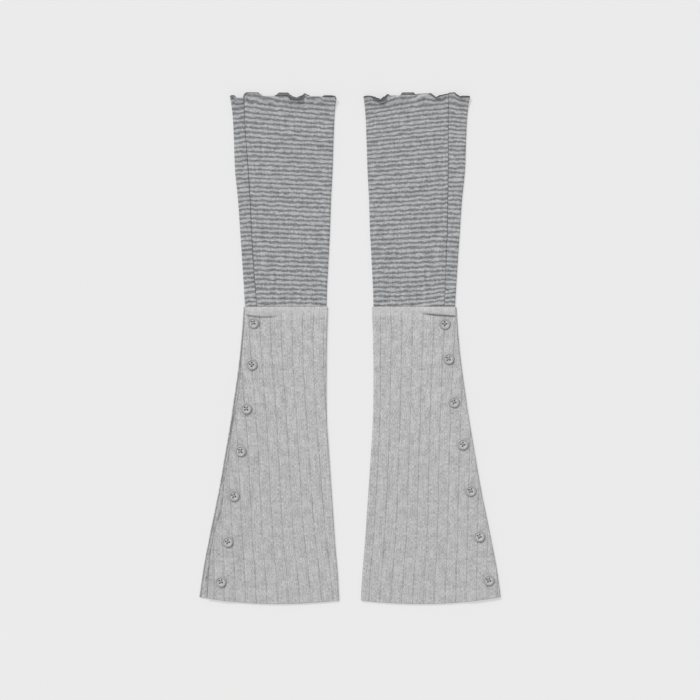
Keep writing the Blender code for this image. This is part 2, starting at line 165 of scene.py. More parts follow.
RIB_OUTLINE = table(
    "up inner outer",
    (0, 11.2, 155.4),
    (29.9, 12.9, 151.4),
    (60.8, 15.5, 145.9),
    (91.7, 17.5, 139.8),
    (122.6, 19.6, 133.9),
    (153.5, 21.6, 128.8),
    (184.4, 23.5, 123.6),
    (215.3, 24.3, 119.1),
    (246.2, 24.2, 114.9),
    (277.1, 23.7, 111.8),
    (306.4, 22.7, 109.8),
)

STRIPED_OUTLINE = table(
    "up inner outer",
    (306.4, 24.2, 108.2),
    (323.4, 23.7, 109.2),
    (354.3, 22.1, 111.2),
    (385.2, 20.6, 113.3),
    (416.1, 19.6, 115.4),
    (447, 18, 118.5),
    (477.9, 17, 119.6),
    (508.8, 15.5, 121.5),
    (523.2, 13.9, 123.6),
)

LENGTHWISE_SEAM = table(
    "up left right",
    (306.4, 95.8, 97.4),
    (338.9, 98.6, 98.6),
    (379, 101.2, 100.2),
    (416.1, 102.8, 100.9),
    (455.3, 105.4, 101.4),
    (495.4, 108.3, 101.4),
    (523.2, 109.2, 101.6),
)

SEAM_SHADE = table(
    "up left right",
    (306.4, 0.10, 0),
    (330, 0.40, 0.05),
    (379, 0.50, 0.30),
    (455, 0.50, 0.30),
    (495, 0.35, 0.20),
    (523.2, 0.25, 0.10),
)

CREASE_LINE = table(
    "out left right",
    (60, 297, 300),
    (72, 296.4, 299.2),
    (80, 295.8, 298.4),
    (88, 295.3, 297.4),
    (97, 295.6, 296.8),
    (106, 297, 296.2),
    (112, 297.6, 295.9),
)

OVERLAP_INSET = table(
    "up left right",
    (0, 8.4, 0.6),
    (30, 6.2, 0.6),
    (48, 4.7, 0.6),
    (64, 4, 0.6),
    (80, 5.4, 0.6),
    (97, 6.7, 0.6),
    (113, 5.2, 0.6),
    (129, 3.7, 0.6),
    (145, 4.1, 0.6),
    (157, 4.2, 0.6),
    (170, 3.3, 0.6),
    (184, 3, 0.6),
    (202, 3.8, 0.6),
    (211, 4.2, 0.6),
    (250, 2.6, 0.8),
    (306.4, 2.2, 1.2),
)

RIB_LAYOUT = table(
    "up pitch left right left_bow right_bow",
    (0, 11.1, -5.2, 7.8, 1.5, 1.2),
    (40.2, 10.8, -3.8, 7.9, 2.1, 2.1),
    (81.4, 10.6, -1.9, 7.9, 1.7, 2.3),
    (122.6, 10.5, -1, 8, 0.8, 0.9),
    (163.8, 10.4, -0.5, 7.6, 0.3, 0.1),
    (205, 10.4, 1, 7.1, -0.6, -0.1),
    (246.2, 10.6, 2.8, 7.3, -0.3, 0.3),
    (287.4, 11, 3.3, 8, 0, 0.2),
    (306.4, 11.1, 3.4, 8.1, 0, 0.2),
)
print("hem width", round((HEM_OUTER_OUT - HEM_INNER_OUT) / MM, 1), "mm; length", round(TOP_UP / MM, 1), "mm")

# %% [markdown]
# Each piece of knit is wrapped flat: a front layer, a half circle at the inner fold, a back layer
# on the table, a half circle at the outer fold, and what is left over. One number, the lap, says
# how far round a point is. With it, both cloths come from one function of lap and height up.

# %% Wrap a cloth flat
FRONT_END, FOLD_END, BACK_END, TURN_END, LAP_END = 1.0, 2.0, 3.0, 4.0, 5.0


def flat_wrap(lap, start, inner, outer, end, wall, front, under):
    """Out and height of the middle of a flat-wrapped cloth.

    On the front and the end, out runs evenly between the edges and height is read from a
    function. A fold is a half circle whose outside just reaches the outline.
    """
    back = wall / 2
    inner_radius = (front(inner + 2 * wall) - back) / 2
    inner_middle = inner + wall / 2 + inner_radius
    outer_radius = (under(outer - 2 * wall) - back) / 2
    outer_middle = outer - wall / 2 - outer_radius
    front_out = start + (inner_middle - start) * lap
    inner_turn = math.pi * (lap - FRONT_END)
    outer_turn = math.pi * (lap - BACK_END)
    end_out = outer_middle + (end - outer_middle) * (lap - TURN_END)
    on = [lap <= FRONT_END, lap <= FOLD_END, lap <= BACK_END, lap <= TURN_END]
    out = np.select(
        on,
        [
            front_out,
            inner_middle - inner_radius * np.sin(inner_turn),
            inner_middle + (outer_middle - inner_middle) * (lap - FOLD_END),
            outer_middle + outer_radius * np.sin(outer_turn),
        ],
        end_out,
    )
    height = np.select(
        on,
        [
            front(front_out),
            back + inner_radius * (1 + np.cos(inner_turn)),
            np.full(np.shape(lap), back),
            back + outer_radius * (1 - np.cos(outer_turn)),
        ],
        under(end_out),
    )
    return out, height


def back_share(lap):
    """1 on the back layer and 0 on the front ones, passing softly from one to the other."""
    return ease(lap - FRONT_END) * (1 - ease(lap - BACK_END))


# %% [markdown]
# Cloth that was folded, worn and laid down keeps soft creases. Each is placed as a short trough
# or ridge between two points, with its own width and depth, and dies out at both ends.
# Minus means a trough. The narrow ones are drags, where a button pulls at the cloth. Real creases
# are uneven, so no two here are alike.

# %% Soft creases
CREASE_STRENGTH, CREASE_ENDS = 1.8, 0.8
RIB_CREASES = {
    "left": table(
        "out up to_out to_up width height",
        (64.9, 296, 82.4, 190, 8, 0.45),
        (27.8, 300, 52, 268, 5, -0.40),
        (33, 280, 33, 205, 6, 0.32),
        (51.5, 268, 67, 188, 6, -0.26),
        (115.4, 40, 94, 67, 4, -0.40),
        (110, 108, 102, 83, 4, -0.26),
        (23.7, 86, 33, 56, 5, -0.28),
        (42, 24, 74, 14, 8, 0.34),
        (117, 192, 99, 192.4, 1.2, -0.60),
        (119, 191, 107, 189.6, 1.2, 0.40),
        (101, 193, 92, 187.5, 1.3, -0.45),
        (107, 229.8, 90, 228.6, 1.8, -0.40),
        (91, 170, 82, 44, 9, 0.28),
        (62, 180, 51, 86, 8, -0.22),
        (128, 128, 114, 133, 2.2, -0.22),
    ),
    "right": table(
        "out up to_out to_up width height",
        (33, 292, 65, 252, 4.2, -0.45),
        (54, 297, 78, 261, 6, 0.42),
        (82, 279, 87, 254, 4, -0.30),
        (44, 216, 45, 168, 8, 0.32),
        (41.5, 242, 39, 204, 5, -0.26),
        (92, 188, 101, 166, 4, -0.40),
        (70, 144, 75, 116, 6, -0.26),
        (107.5, 113, 113.5, 91, 4, -0.34),
        (24.7, 108, 21, 39, 4.5, -0.40),
        (119, 61, 122, 16, 4.5, -0.36),
        (97.5, 66.5, 103, 43, 6, -0.26),
        (51, 40, 83, 29, 8, 0.26),
        (80, 102.5, 84.5, 78, 6, -0.22),
        (131, 142, 117, 138, 2.2, -0.22),
    ),
}
STRIPED_CREASES = {
    "left": table(
        "out up to_out to_up width height",
        (101, 492, 97, 372, 4.5, -0.28),
        (80, 470, 77, 424, 8, 0.34),
        (31, 480, 28.5, 450, 6, -0.30),
        (52, 368, 43, 312, 6, -0.28),
        (104, 515, 50, 512, 4, -0.40),
        (66, 420, 60, 360, 9, 0.26),
    ),
    "right": table(
        "out up to_out to_up width height",
        (26, 338, 86, 337, 5, 0.45),
        (31, 352.5, 83, 350, 5, -0.28),
        (70, 500, 72, 424, 9, 0.32),
        (46, 376, 52, 352, 6, -0.24),
        (20, 512, 40, 509, 3.5, -0.36),
    ),
}
BACK_CREASES = table(
    "out up to_out to_up width height",
    (38, 288, 60, 236, 7, 0.35),
    (88, 262, 96, 190, 6, 0.28),
    (60, 150, 40, 70, 9, 0.40),
    (118, 96, 104, 48, 7, 0.30),
    (70, 480, 58, 400, 8, 0.35),
    (42, 372, 62, 330, 6, 0.26),
)


def crease_height(creases, out, up):
    """The sum of all creases: across each a bell of its width, along it a soft rise and fall."""
    total = np.zeros(np.broadcast(out, up).shape)
    for out_a, up_a, out_b, up_b, width, height in zip(*creases.values()):
        along_out, along_up = out_b - out_a, up_b - up_a
        length = math.hypot(along_out, along_up)
        share = ((out - out_a) * along_out + (up - up_a) * along_up) / length ** 2
        across = ((out - out_a) * along_up - (up - up_a) * along_out) / length
        ends = np.sin(math.pi * np.clip(share, 0.0, 1.0)) ** CREASE_ENDS
        total = total + height * ends * bell(across, width)
    return CREASE_STRENGTH * total


def back_crease_height(lap, out, up):
    """The creases of the hidden back layer, and nothing elsewhere."""
    on_back = (lap > FOLD_END) & (lap < BACK_END)
    return np.where(on_back, crease_height(BACK_CREASES, out, up), 0.0)


print("creases by hand:", sum(len(c["out"]) for c in (*RIB_CREASES.values(), *STRIPED_CREASES.values())))

# %% [markdown]
# The lower part is one flared panel of wide rib. It climbs softly over the underlap beneath its
# buttoned edge, swells at its folds and has a bulge under the join, where the seam allowance
# lies, closed off by a crease. Its free edge lifts where a strip of the underlap shows beside
# it, and droops where it lies close to the fold. Its hem is bowed.

# %% Rib panel's middle surface
HUMP_UP, HUMP_HEIGHT, HUMP_SPREAD = 302.0 * MM, 0.4 * MM, 3.5 * MM
CREASE_DEPTH, CREASE_SPREAD = 0.28 * MM, 1.2 * MM
CREASE_FAINT = 0.15
STRIP_FROM, STRIP_FULL = 1.7 * MM, 3.6 * MM
FOLD_SWELL, FOLD_SPREAD = 0.3 * MM, 9.0 * MM
LIP_LIFT, LIP_DROOP, LIP_SPREAD = 0.8 * MM, 0.35 * MM, 2.4 * MM
OUTER_SWELL, OUTER_SWELL_SPREAD = 0.4 * MM, 2.4 * MM


def placket_ramp(out, up):
    """1 where the underlap lies beneath, and 0 inwards of the ramp."""
    edge = read(RIB_OUTLINE, "outer", up) - UNDERLAP_DEPTH
    return ease((out - edge + PLACKET_RAMP) / (PLACKET_RAMP - PLACKET_CLEAR))


def allowance_share(out, up):
    """How strongly the bulge and its crease show: fully at the placket, faintly elsewhere."""
    return CREASE_FAINT + (1 - CREASE_FAINT) * placket_ramp(out, up)


def strip_share(side, up):
    """1 where a strip of the underlap shows beside the overlap's free edge, 0 where it is narrow."""
    return ease((read(OVERLAP_INSET, side, up) - STRIP_FROM) / (STRIP_FULL - STRIP_FROM))


def rib_front_height(side, out, up):
    """Middle of the rib panel's front layer above the table."""
    plain = 1.5 * RIB_WALL + LAYER_GAP
    overlap = 2.5 * RIB_WALL + LAP_GAP + LAYER_GAP
    swell = FOLD_SWELL * bell(out - read(RIB_OUTLINE, "inner", up), FOLD_SPREAD)
    hump = HUMP_HEIGHT * bell(up - HUMP_UP, HUMP_SPREAD)
    crease = CREASE_DEPTH * bell(up - read(CREASE_LINE, side, out), CREASE_SPREAD)
    level = plain + (overlap - plain) * placket_ramp(out, up) + swell
    level = level + (hump - crease) * allowance_share(out, up)
    return level + crease_height(RIB_CREASES[side], out, up)


def rib_hem(out):
    """How far the bowed hem rises above its lowest point: a parabola to each side."""
    inner = HEM_INNER_RISE * ((HEM_LOW_OUT - out) / (HEM_LOW_OUT - HEM_INNER_OUT)) ** 2
    outer = HEM_OUTER_RISE * ((out - HEM_LOW_OUT) / (HEM_OUTER_OUT - HEM_LOW_OUT)) ** 2
    return np.where(out < HEM_LOW_OUT, inner, outer)


def rib_surface(side, lap, up):
    """Middle of the rib panel's wall, from the overlap's free edge round to the underlap's end."""
    outer = read(RIB_OUTLINE, "outer", up)
    underlap = 1.5 * RIB_WALL + LAP_GAP
    free_edge = outer - read(OVERLAP_INSET, side, up)
    strip = strip_share(side, up)
    lip = LIP_LIFT * strip - LIP_DROOP * (1 - strip)
    out, height = flat_wrap(
        lap,
        free_edge,
        read(RIB_OUTLINE, "inner", up),
        outer,
        outer - UNDERLAP_DEPTH,
        RIB_WALL,
        lambda at: rib_front_height(side, at, up) + lip * bell(at - free_edge, LIP_SPREAD),
        lambda at: underlap + OUTER_SWELL * strip * bell(at - outer, OUTER_SWELL_SPREAD),
    )
    height = height + back_crease_height(lap, out, up)
    bowed_up = up + rib_hem(out) * (1 - up / JOIN_UP)
    return np.stack([SIDES[side] * out, bowed_up - CENTRE_UP, height], axis=-1)


# %% [markdown]
# The top edge is a lettuce hem: the knit is stretched while dark thread is whipped over it, so it
# springs back into waves. Place by place, a table says how far the front edge and the back edge
# reach, and how far the front edge curls: plus towards the viewer, minus away, out of sight.

# %% Ruffled edge
CURL_LENGTH = 5.0 * MM
REACH_SPREAD, LIFT_SPREAD = 9.0 * MM, 8.0 * MM
LIFT_SHARE, FLAT_REACH = 0.45, 3.3 * MM
FRONT_STANDOFF, BACK_STANDOFF = 1.2 * MM, 0.3 * MM
CURL_AWAY_LIFT, CURL_AWAY_FULL = 1.0 * MM, math.radians(125)
LEAST_CURL = 1e-3
# A table keeps its numbers as thousandths, and this turns such a number of degrees into an angle.
DEGREES = math.radians(1.0) / MM

RUFFLES = {
    "left": table(
        "out reach curl back",
        (14, -2.4, 60, -2.6),
        (16.5, 0.1, 15, -1),
        (18.5, -0.6, 20, 0.8),
        (26.5, -0.5, 20, 0.8),
        (30, -0.6, -125, -1.5),
        (40.5, -0.6, -125, -1.5),
        (43.5, 1, 0, 0),
        (46.6, 2.5, 10, 2.6),
        (49.3, -0.6, 60, 0.9),
        (51.6, -2.8, 110, 0),
        (54.8, -3.4, 120, -1.4),
        (58.3, -3, 110, -0.6),
        (61.3, -1.8, 50, 1.2),
        (64, 0.8, 5, 3.6),
        (73, 0.9, 0, 3.6),
        (76.5, 0, -60, 1),
        (79.5, -0.3, -125, -1),
        (90, -0.2, -125, -1),
        (92.5, 1.6, -20, 0),
        (94.5, 3.5, 0, 0.5),
        (106.5, 3.6, 0, 0.5),
        (108.4, 2.4, 10, 0),
        (110.4, -2, -60, -2),
        (116.5, -2.2, -60, -2),
        (119.5, 0.3, 60, -0.5),
        (123.6, 0, 90, -0.5),
    ),
    "right": table(
        "out reach curl back",
        (14.4, -0.6, 40, -1),
        (18.5, 0, 30, -1),
        (21.8, -0.4, 50, 0.3),
        (25, -3, 90, -0.6),
        (28.4, -4.2, 115, -1.9),
        (31.6, -4.6, 120, -2.8),
        (34.8, -2.6, 70, -0.6),
        (38.8, 1.7, 0, 1.9),
        (42, 0.2, -80, 0.3),
        (51.5, 0.1, -125, 0.5),
        (54, 1.7, -20, 3.7),
        (65.5, 1.8, 0, 3.8),
        (68, 2, -60, 1),
        (71, 2.1, -110, 0),
        (79, 2.5, -110, 0),
        (83, 2.8, -10, 0.5),
        (86, 0.2, 60, -0.5),
        (88.2, -1.9, 110, -1),
        (93, 0.6, 40, 0),
        (99.7, 2, 10, 0.5),
        (103, 3.3, 0, 1),
        (107.5, 3.6, 0, 1),
        (110.5, 1, 60, 0),
        (113, -0.8, 80, -1),
        (116.5, -0.1, 20, -0.8),
        (123.6, -0.2, 10, -0.8),
    ),
}


def between(columns, name, at):
    """The named column, passing from row to row with a soft step, so that rows are flat spots."""
    knots = columns["out"]
    cell = np.clip(np.searchsorted(knots, at) - 1, 0, len(knots) - 2)
    share = ease((at - knots[cell]) / (knots[cell + 1] - knots[cell]))
    return columns[name][cell] * (1 - share) + columns[name][cell + 1] * share


def curl(angle, share):
    """How far a curled strip falls short of its length, and how far it rises, at a share of it.

    The strip bends on a circle: after length s at curvature k it is sin(ks)/k along and
    (1 - cos ks)/k up, here written with sinc so that a flat strip is no exception.
    """
    length = CURL_LENGTH * share
    turned = angle * share
    along = length * np.sinc(turned / math.pi)
    rise = length * turned / 2 * np.sinc(turned / (2 * math.pi)) ** 2
    return along - length, rise


def curl_tip(angle):
    """How much of the strip's length a curl takes off its reach, seen from above."""
    size = np.maximum(np.abs(angle), LEAST_CURL)
    return CURL_LENGTH * (1 - np.sin(np.minimum(size, math.pi / 2)) / size)


# %% [markdown]
# The upper part is a tube of fine striped jersey with one seam that runs its whole length near
# the outer side. Its wall starts and ends there, so the surface's lap does too.

# %% Striped tube's middle surface
SEAM_DIP, SEAM_SPREAD = 0.3 * MM, 1.1 * MM
JOIN_RISE, JOIN_SPREAD = 1.0 * MM, 14.0 * MM


def striped_front_height(side, out, up):
    """Middle of the striped tube's front layer above the table, without its ruffle."""
    inner = read(STRIPED_OUTLINE, "inner", up)
    outer = read(STRIPED_OUTLINE, "outer", up)
    swell = FOLD_SWELL * (bell(out - inner, FOLD_SPREAD) + bell(outer - out, FOLD_SPREAD))
    dip = SEAM_DIP * bell(out - read(LENGTHWISE_SEAM, side, up), SEAM_SPREAD)
    rise = JOIN_RISE * placket_ramp(out, JOIN_UP) * np.exp(-(up - JOIN_UP) / JOIN_SPREAD)
    level = 1.5 * JERSEY_WALL + LAYER_GAP + swell - dip + rise
    return level + crease_height(STRIPED_CREASES[side], out, up)


def striped_surface(side, lap, up):
    """Middle of the striped tube's wall, from its lengthwise seam round to the seam again."""
    seam = read(LENGTHWISE_SEAM, side, up)

    def front(at):
        return striped_front_height(side, at, up)

    out, height = flat_wrap(
        lap,
        seam - SEAM_GAP / 2,
        read(STRIPED_OUTLINE, "inner", up),
        read(STRIPED_OUTLINE, "outer", up),
        seam + SEAM_GAP / 2,
        JERSEY_WALL,
        front,
        front,
    )
    height = height + back_crease_height(lap, out, up)
    ruffle = RUFFLES[side]
    below_top = TOP_UP - up
    behind = back_share(lap)
    angle = between(ruffle, "curl", out) * DEGREES * (1 - behind)
    short, rise = curl(angle, np.clip(1 - below_top / CURL_LENGTH, 0.0, 1.0))
    reach = between(ruffle, "reach", out) + curl_tip(angle)
    reach = reach * (1 - behind) + between(ruffle, "back", out) * behind
    lift = FRONT_STANDOFF + LIFT_SHARE * np.maximum(FLAT_REACH - between(ruffle, "reach", out), 0.0)
    lift = lift + CURL_AWAY_LIFT * np.maximum(-angle, 0.0) / CURL_AWAY_FULL
    lift = lift * (1 - behind) + BACK_STANDOFF * behind
    ruffled_up = up + reach * bell(below_top, REACH_SPREAD) + short
    height = height + lift * bell(below_top, LIFT_SPREAD) + rise
    return np.stack([SIDES[side] * out, ruffled_up - CENTRE_UP, height], axis=-1)


# %% [markdown]
# A wall of cloth is two copies of its middle surface, moved out and in along the surface's own
# normal, and closed by a narrow strip round the edge. Near each cut edge the wall thins on a
# quarter circle, so that edges look folded and sewn, not sawn off. Each point also keeps its
# "shade", how far it lies in its own shadow, because soft light alone leaves narrow gaps pale.

# %% From a surface to a wall
PROBE, PROBE_UP = 1e-3, 0.2 * MM
EDGE_ROUND = 0.8 * MM
LEAST_WALL = 0.15
CLOSE_ROWS = np.array([0.0, 0.1, 0.3, 0.55, 0.85, 1.3]) * MM
CLOSE_COLUMNS = np.array([0.0, 0.1, 0.3, 0.55, 0.8]) * MM
CLEAR_OF_CLOSE = 1.2
PLAIN_FROM = 2.0 * MM


def outward(surface, side, lap, up):
    """Unit vectors out of the cloth: the cross product of its slopes up the leg and along the lap."""
    along = surface(side, np.minimum(lap + PROBE, LAP_END), up)
    along = along - surface(side, np.maximum(lap - PROBE, 0.0), up)
    upward = surface(side, lap, up + PROBE_UP) - surface(side, lap, up - PROBE_UP)
    normal = SIDES[side] * np.cross(upward, along)
    return normal / np.linalg.norm(normal, axis=-1, keepdims=True)


def across_cloth(middle):
    """Distance round the cloth at each grid point: the running sum of its steps along each row."""
    step = np.linalg.norm(np.diff(middle, axis=1), axis=-1)
    return np.concatenate([np.zeros((len(middle), 1)), np.cumsum(step, axis=1)], axis=1)


def rounded(distance):
    """The wall's share of its thickness at a distance from a cut edge: a quarter circle."""
    short = 1 - np.clip(distance / EDGE_ROUND, 0.0, 1.0)
    return LEAST_WALL + (1 - LEAST_WALL) * np.sqrt(1 - short ** 2)


def edge_share(across, up, low, high):
    """The rounding at all four edges of a cloth at once."""
    ends = rounded(across) * rounded(across[:, -1:] - across)
    return ends * rounded(up - low) * rounded(high - up)


def grid_faces(rows, columns):
    """The four-cornered faces of a grid whose points are numbered row by row."""
    corner = np.arange(rows - 1)[:, None] * columns + np.arange(columns - 1)
    faces = np.stack([corner, corner + 1, corner + columns + 1, corner + columns], axis=-1)
    return faces.reshape(-1, 4)


def edge_loop(rows, columns):
    """The numbers of a grid's edge points, once round."""
    ids = np.arange(rows * columns).reshape(rows, columns)
    return np.concatenate([ids[0, :-1], ids[:-1, -1], ids[-1, :0:-1], ids[:0:-1, 0]])


def closed_mesh(name, points, faces, weld=0.0):
    """A smooth mesh whose faces all look outwards, its points welded where closer than a distance."""
    mesh = bpy.data.meshes.new(name)
    mesh.from_pydata(points.tolist(), [], faces)
    work = bmesh.new()
    work.from_mesh(mesh)
    if weld:
        bmesh.ops.remove_doubles(work, verts=work.verts[:], dist=weld)
    bmesh.ops.recalc_face_normals(work, faces=work.faces[:])
    work.to_mesh(mesh)
    work.free()
    mesh.shade_smooth()
    return mesh


def write_shade(mesh, share):
    """Keeps the share of shade with each point of a mesh."""
    values = mesh.attributes.new("shade", "FLOAT", "POINT").data
    values.foreach_set("value", share.astype(np.float32))


def wall_mesh(name, outside, inside, texture, shade):
    """A closed mesh from two grids of points, with texture coordinates and the share of shade."""
    rows, columns = outside.shape[:2]
    count = rows * columns
    face = grid_faces(rows, columns)
    loop = edge_loop(rows, columns)
    after = np.roll(loop, -1)
    rim = np.stack([after, loop, loop + count, after + count], axis=-1)
    faces = np.concatenate([face, face[:, ::-1] + count, rim])
    points = np.concatenate([outside.reshape(-1, 3), inside.reshape(-1, 3)])
    mesh = closed_mesh(name, points, faces.tolist())
    corner = np.zeros(len(mesh.loops), np.int32)
    mesh.loops.foreach_get("vertex_index", corner)
    flat = np.concatenate([texture.reshape(-1, 2)] * 2)[corner]
    mesh.uv_layers.new(name="knit").data.foreach_set("uv", flat.ravel().astype(np.float32))
    write_shade(mesh, np.concatenate([shade.ravel(), shade.ravel()]))
    return mesh


def spaced(start, end, count):
    """Evenly spaced positions from start up to, but not including, end."""
    return start + (end - start) * np.arange(count) / count


def lap_columns(front, fold, back, turn, end, first_length, last_length):
    """Positions round a cloth, with a few close ones at both cut edges."""
    main = np.concatenate([
        spaced(0.0, FRONT_END, front)[1:],
        spaced(FRONT_END, FOLD_END, fold),
        spaced(FOLD_END, BACK_END, back),
        spaced(BACK_END, TURN_END, turn),
        spaced(TURN_END, LAP_END, end),
    ])
    starts = CLOSE_COLUMNS / first_length
    ends = LAP_END - CLOSE_COLUMNS / last_length
    last_main = LAP_END - CLOSE_COLUMNS[-1] * CLEAR_OF_CLOSE / last_length
    main = main[(main > starts[-1] * CLEAR_OF_CLOSE) & (main < last_main)]
    return np.unique(np.concatenate([starts, main, ends]))


# %% [markdown]
# The wide rib is knitted: broad flat ribs, about 10.5 mm apart, parted by one sunken stitch line.
# Counting ribs across the cloth gives a coordinate that the grooves and the knit's own pattern
# share. On the front the ribs stand up, and on the underside the grooves sink in, so that it
# still lies flat. Painted shade gathers at the overlap's free edge and in the crease under the
# join, and a small dark mark near the left hem is painted through the same shade.

# %% Ribs
RIB_RISE = 0.35 * MM
GROOVE_DEPTH, GROOVE_HALF = 0.42 * MM, 0.45 * MM
RIB_CROWN = 0.1 * MM
RIB_PITCH = 10.6 * MM
GROOVE_END, GROOVE_FADE = 3.0 * MM, 10.0 * MM
SHARP_CREASE, SHARP_SPREAD = 0.65 * MM, 1.1 * MM
RIB_COLUMNS, RIB_ROWS = (238, 10, 26, 10, 16), 124
RIB_FRONT_LENGTH, RIB_PLAIN_TO = 110.0 * MM, 304.6 * MM
CREASE_ROWS = np.linspace(293.4, 301.0, 13) * MM
DRAG_ROWS = 192.0 * MM + np.linspace(-4.0, 4.0, 7) * MM
CREVICE_SHADE, CREVICE_EDGE, CREVICE_FLOOR = 0.65, 0.35 * MM, 0.5 * MM
CREASE_SHADE, CREASE_SHADE_IN = {"left": 0.58, "right": 0.85}, 3.0 * MM
DARK_MARK_OUT, DARK_MARK_UP, DARK_MARK_WIDE, DARK_MARK_HIGH = 147.8 * MM, 21.5 * MM, 0.9 * MM, 2.6 * MM


def rib_count(side, lap, up, out, across):
    """Ribs counted from the inner fold: by place on the front, then on by distance round the rest."""
    pitch = read(RIB_LAYOUT, "pitch", up)
    inner = read(RIB_OUTLINE, "inner", up)
    share = (out - inner) / (read(RIB_OUTLINE, "outer", up) - inner)
    bow = read(RIB_LAYOUT, f"{side}_bow", up) * 4 * share * (1 - share)
    front = (out - inner - read(RIB_LAYOUT, side, up) - bow) / pitch
    last = np.searchsorted(lap[0], FRONT_END)
    rest = front[:, last:last + 1] - (across - across[:, last:last + 1]) / pitch
    return np.where(lap <= FRONT_END, front, rest)


def rib_relief(side, count, lap, out, up):
    """The wall's outside over its plain thickness: a crown on each rib less a bell at each groove."""
    from_groove = (count - np.round(count)) * RIB_PITCH
    plain = ease((JOIN_UP - GROOVE_END - up) / GROOVE_FADE)
    relief = RIB_RISE * np.clip(FOLD_END - lap, 0.0, 1.0)
    relief = relief + RIB_CROWN * (np.cos(math.tau * from_groove / RIB_PITCH + math.pi) - 1) / 2
    relief = relief - GROOVE_DEPTH * bell(from_groove, GROOVE_HALF) * plain
    sharp = SHARP_CREASE * bell(up - read(CREASE_LINE, side, out), SHARP_SPREAD)
    sharp = sharp * allowance_share(out, up)
    return relief - sharp * (lap <= FRONT_END)


def rib_shade(side, lap, out, up, across):
    """Painted shade at the overlap's free edge and in the crease, and a dark mark near the left hem."""
    inset = read(OVERLAP_INSET, side, up)
    from_edge = out - read(RIB_OUTLINE, "outer", up) + inset
    crevice = np.where(lap <= FRONT_END, bell(across, CREVICE_EDGE), 0.0)
    crevice = crevice + np.where(lap >= BACK_END, bell(from_edge, CREVICE_FLOOR), 0.0)
    crevice = crevice * strip_share(side, up)
    # On the left a small dark mark near the hem is painted through the same shade.
    if side == "left":
        dark_mark = bell(out - DARK_MARK_OUT, DARK_MARK_WIDE) * bell(up - DARK_MARK_UP, DARK_MARK_HIGH)
        crevice = crevice + np.where(lap >= BACK_END, dark_mark, 0.0)
    inside = ease(-from_edge / CREASE_SHADE_IN) * placket_ramp(out, up) * (lap <= FRONT_END)
    crease = bell(up - read(CREASE_LINE, side, out), SHARP_SPREAD) * inside
    return CREVICE_SHADE * crevice + CREASE_SHADE[side] * crease


def rib_grid(side):
    """Outside, inside, texture and shade grid of the rib panel."""
    lap = lap_columns(*RIB_COLUMNS, RIB_FRONT_LENGTH, UNDERLAP_DEPTH)
    high = JOIN_UP - SEAM_GAP / 2
    plain = np.linspace(PLAIN_FROM, RIB_PLAIN_TO, RIB_ROWS)
    rows = [CLOSE_ROWS, plain, CREASE_ROWS, DRAG_ROWS, high - CLOSE_ROWS]
    lap, up = np.meshgrid(lap, np.unique(np.concatenate(rows)))
    middle = rib_surface(side, lap, up)
    out = SIDES[side] * middle[..., 0]
    across = across_cloth(middle)
    count = rib_count(side, lap, up, out, across)
    share = edge_share(across, up, 0.0, high)
    half = RIB_WALL / 2 * share
    normal = outward(rib_surface, side, lap, up)
    thick = half + rib_relief(side, count, lap, out, up) * share
    outside = middle + thick[..., None] * normal
    inside = middle - half[..., None] * normal
    texture = np.stack([count * RIB_PITCH, middle[..., 1] + CENTRE_UP], axis=-1)
    return outside, inside, texture, rib_shade(side, lap, out, up, across)


rib_meshes = {}
for side in SIDES:
    rib_meshes[side] = wall_mesh(f"rib_cloth_{side}", *rib_grid(side))
    print("rib panel", side, "faces:", len(rib_meshes[side].polygons))

# %% [markdown]
# The stripes are knitted in, so they follow the rows of stitches, which pull a little askew: they
# drop towards the inner side, and more so at the top. The table counts dark stripes upwards at
# five places across the front, and the back carries on between its two folds.

# %% Stripe count
STRIPE_PITCH = 4.65 * MM
DARK_PHASE = {"left": 0.17, "right": 0.59}
MIDDLE_OUT = {"left": 61.8 * MM, "right": 56.7 * MM}
STRIPE_COUNTS = {
    "left": table(
        "up seam middle inner strip fold",
        (306.4, -3.38, -3.63, -3.4, -3.96, -3.61),
        (314.1, -1.89, -2, -1.67, -2.3, -2.05),
        (323.4, -0.08, 0, 0.29, -0.45, -0.3),
        (344, 4.15, 4.33, 4.63, 3.77, 3.9),
        (385.2, 12.6, 12.99, 13.27, 12.5, 12.65),
        (426.4, 21.45, 21.82, 22.25, 21.47, 21.75),
        (467.6, 30.45, 30.87, 31.36, 30.43, 30.7),
        (508.8, 38.6, 39.54, 40.3, 38.7, 38.95),
        (523.2, 41.5, 42.5, 43.2, 41.6, 41.9),
    ),
    "right": table(
        "up seam middle inner strip fold",
        (306.4, -4.9, -3.9, -3.6, -5.5, -5.5),
        (323.4, -1, -0.1, -0.1, -1.6, -1.7),
        (344, 3.72, 4.1, 4.2, 2.7, 2.85),
        (385.2, 11.8, 12.3, 12.7, 11, 11.1),
        (426.4, 20.37, 21.05, 21.45, 19.8, 19.8),
        (467.6, 29.05, 29.87, 30.7, 28.6, 28.7),
        (508.8, 38.25, 39.22, 40.6, 38.25, 38.7),
        (523.2, 41.4, 42.4, 43.8, 41.4, 41.9),
    ),
}


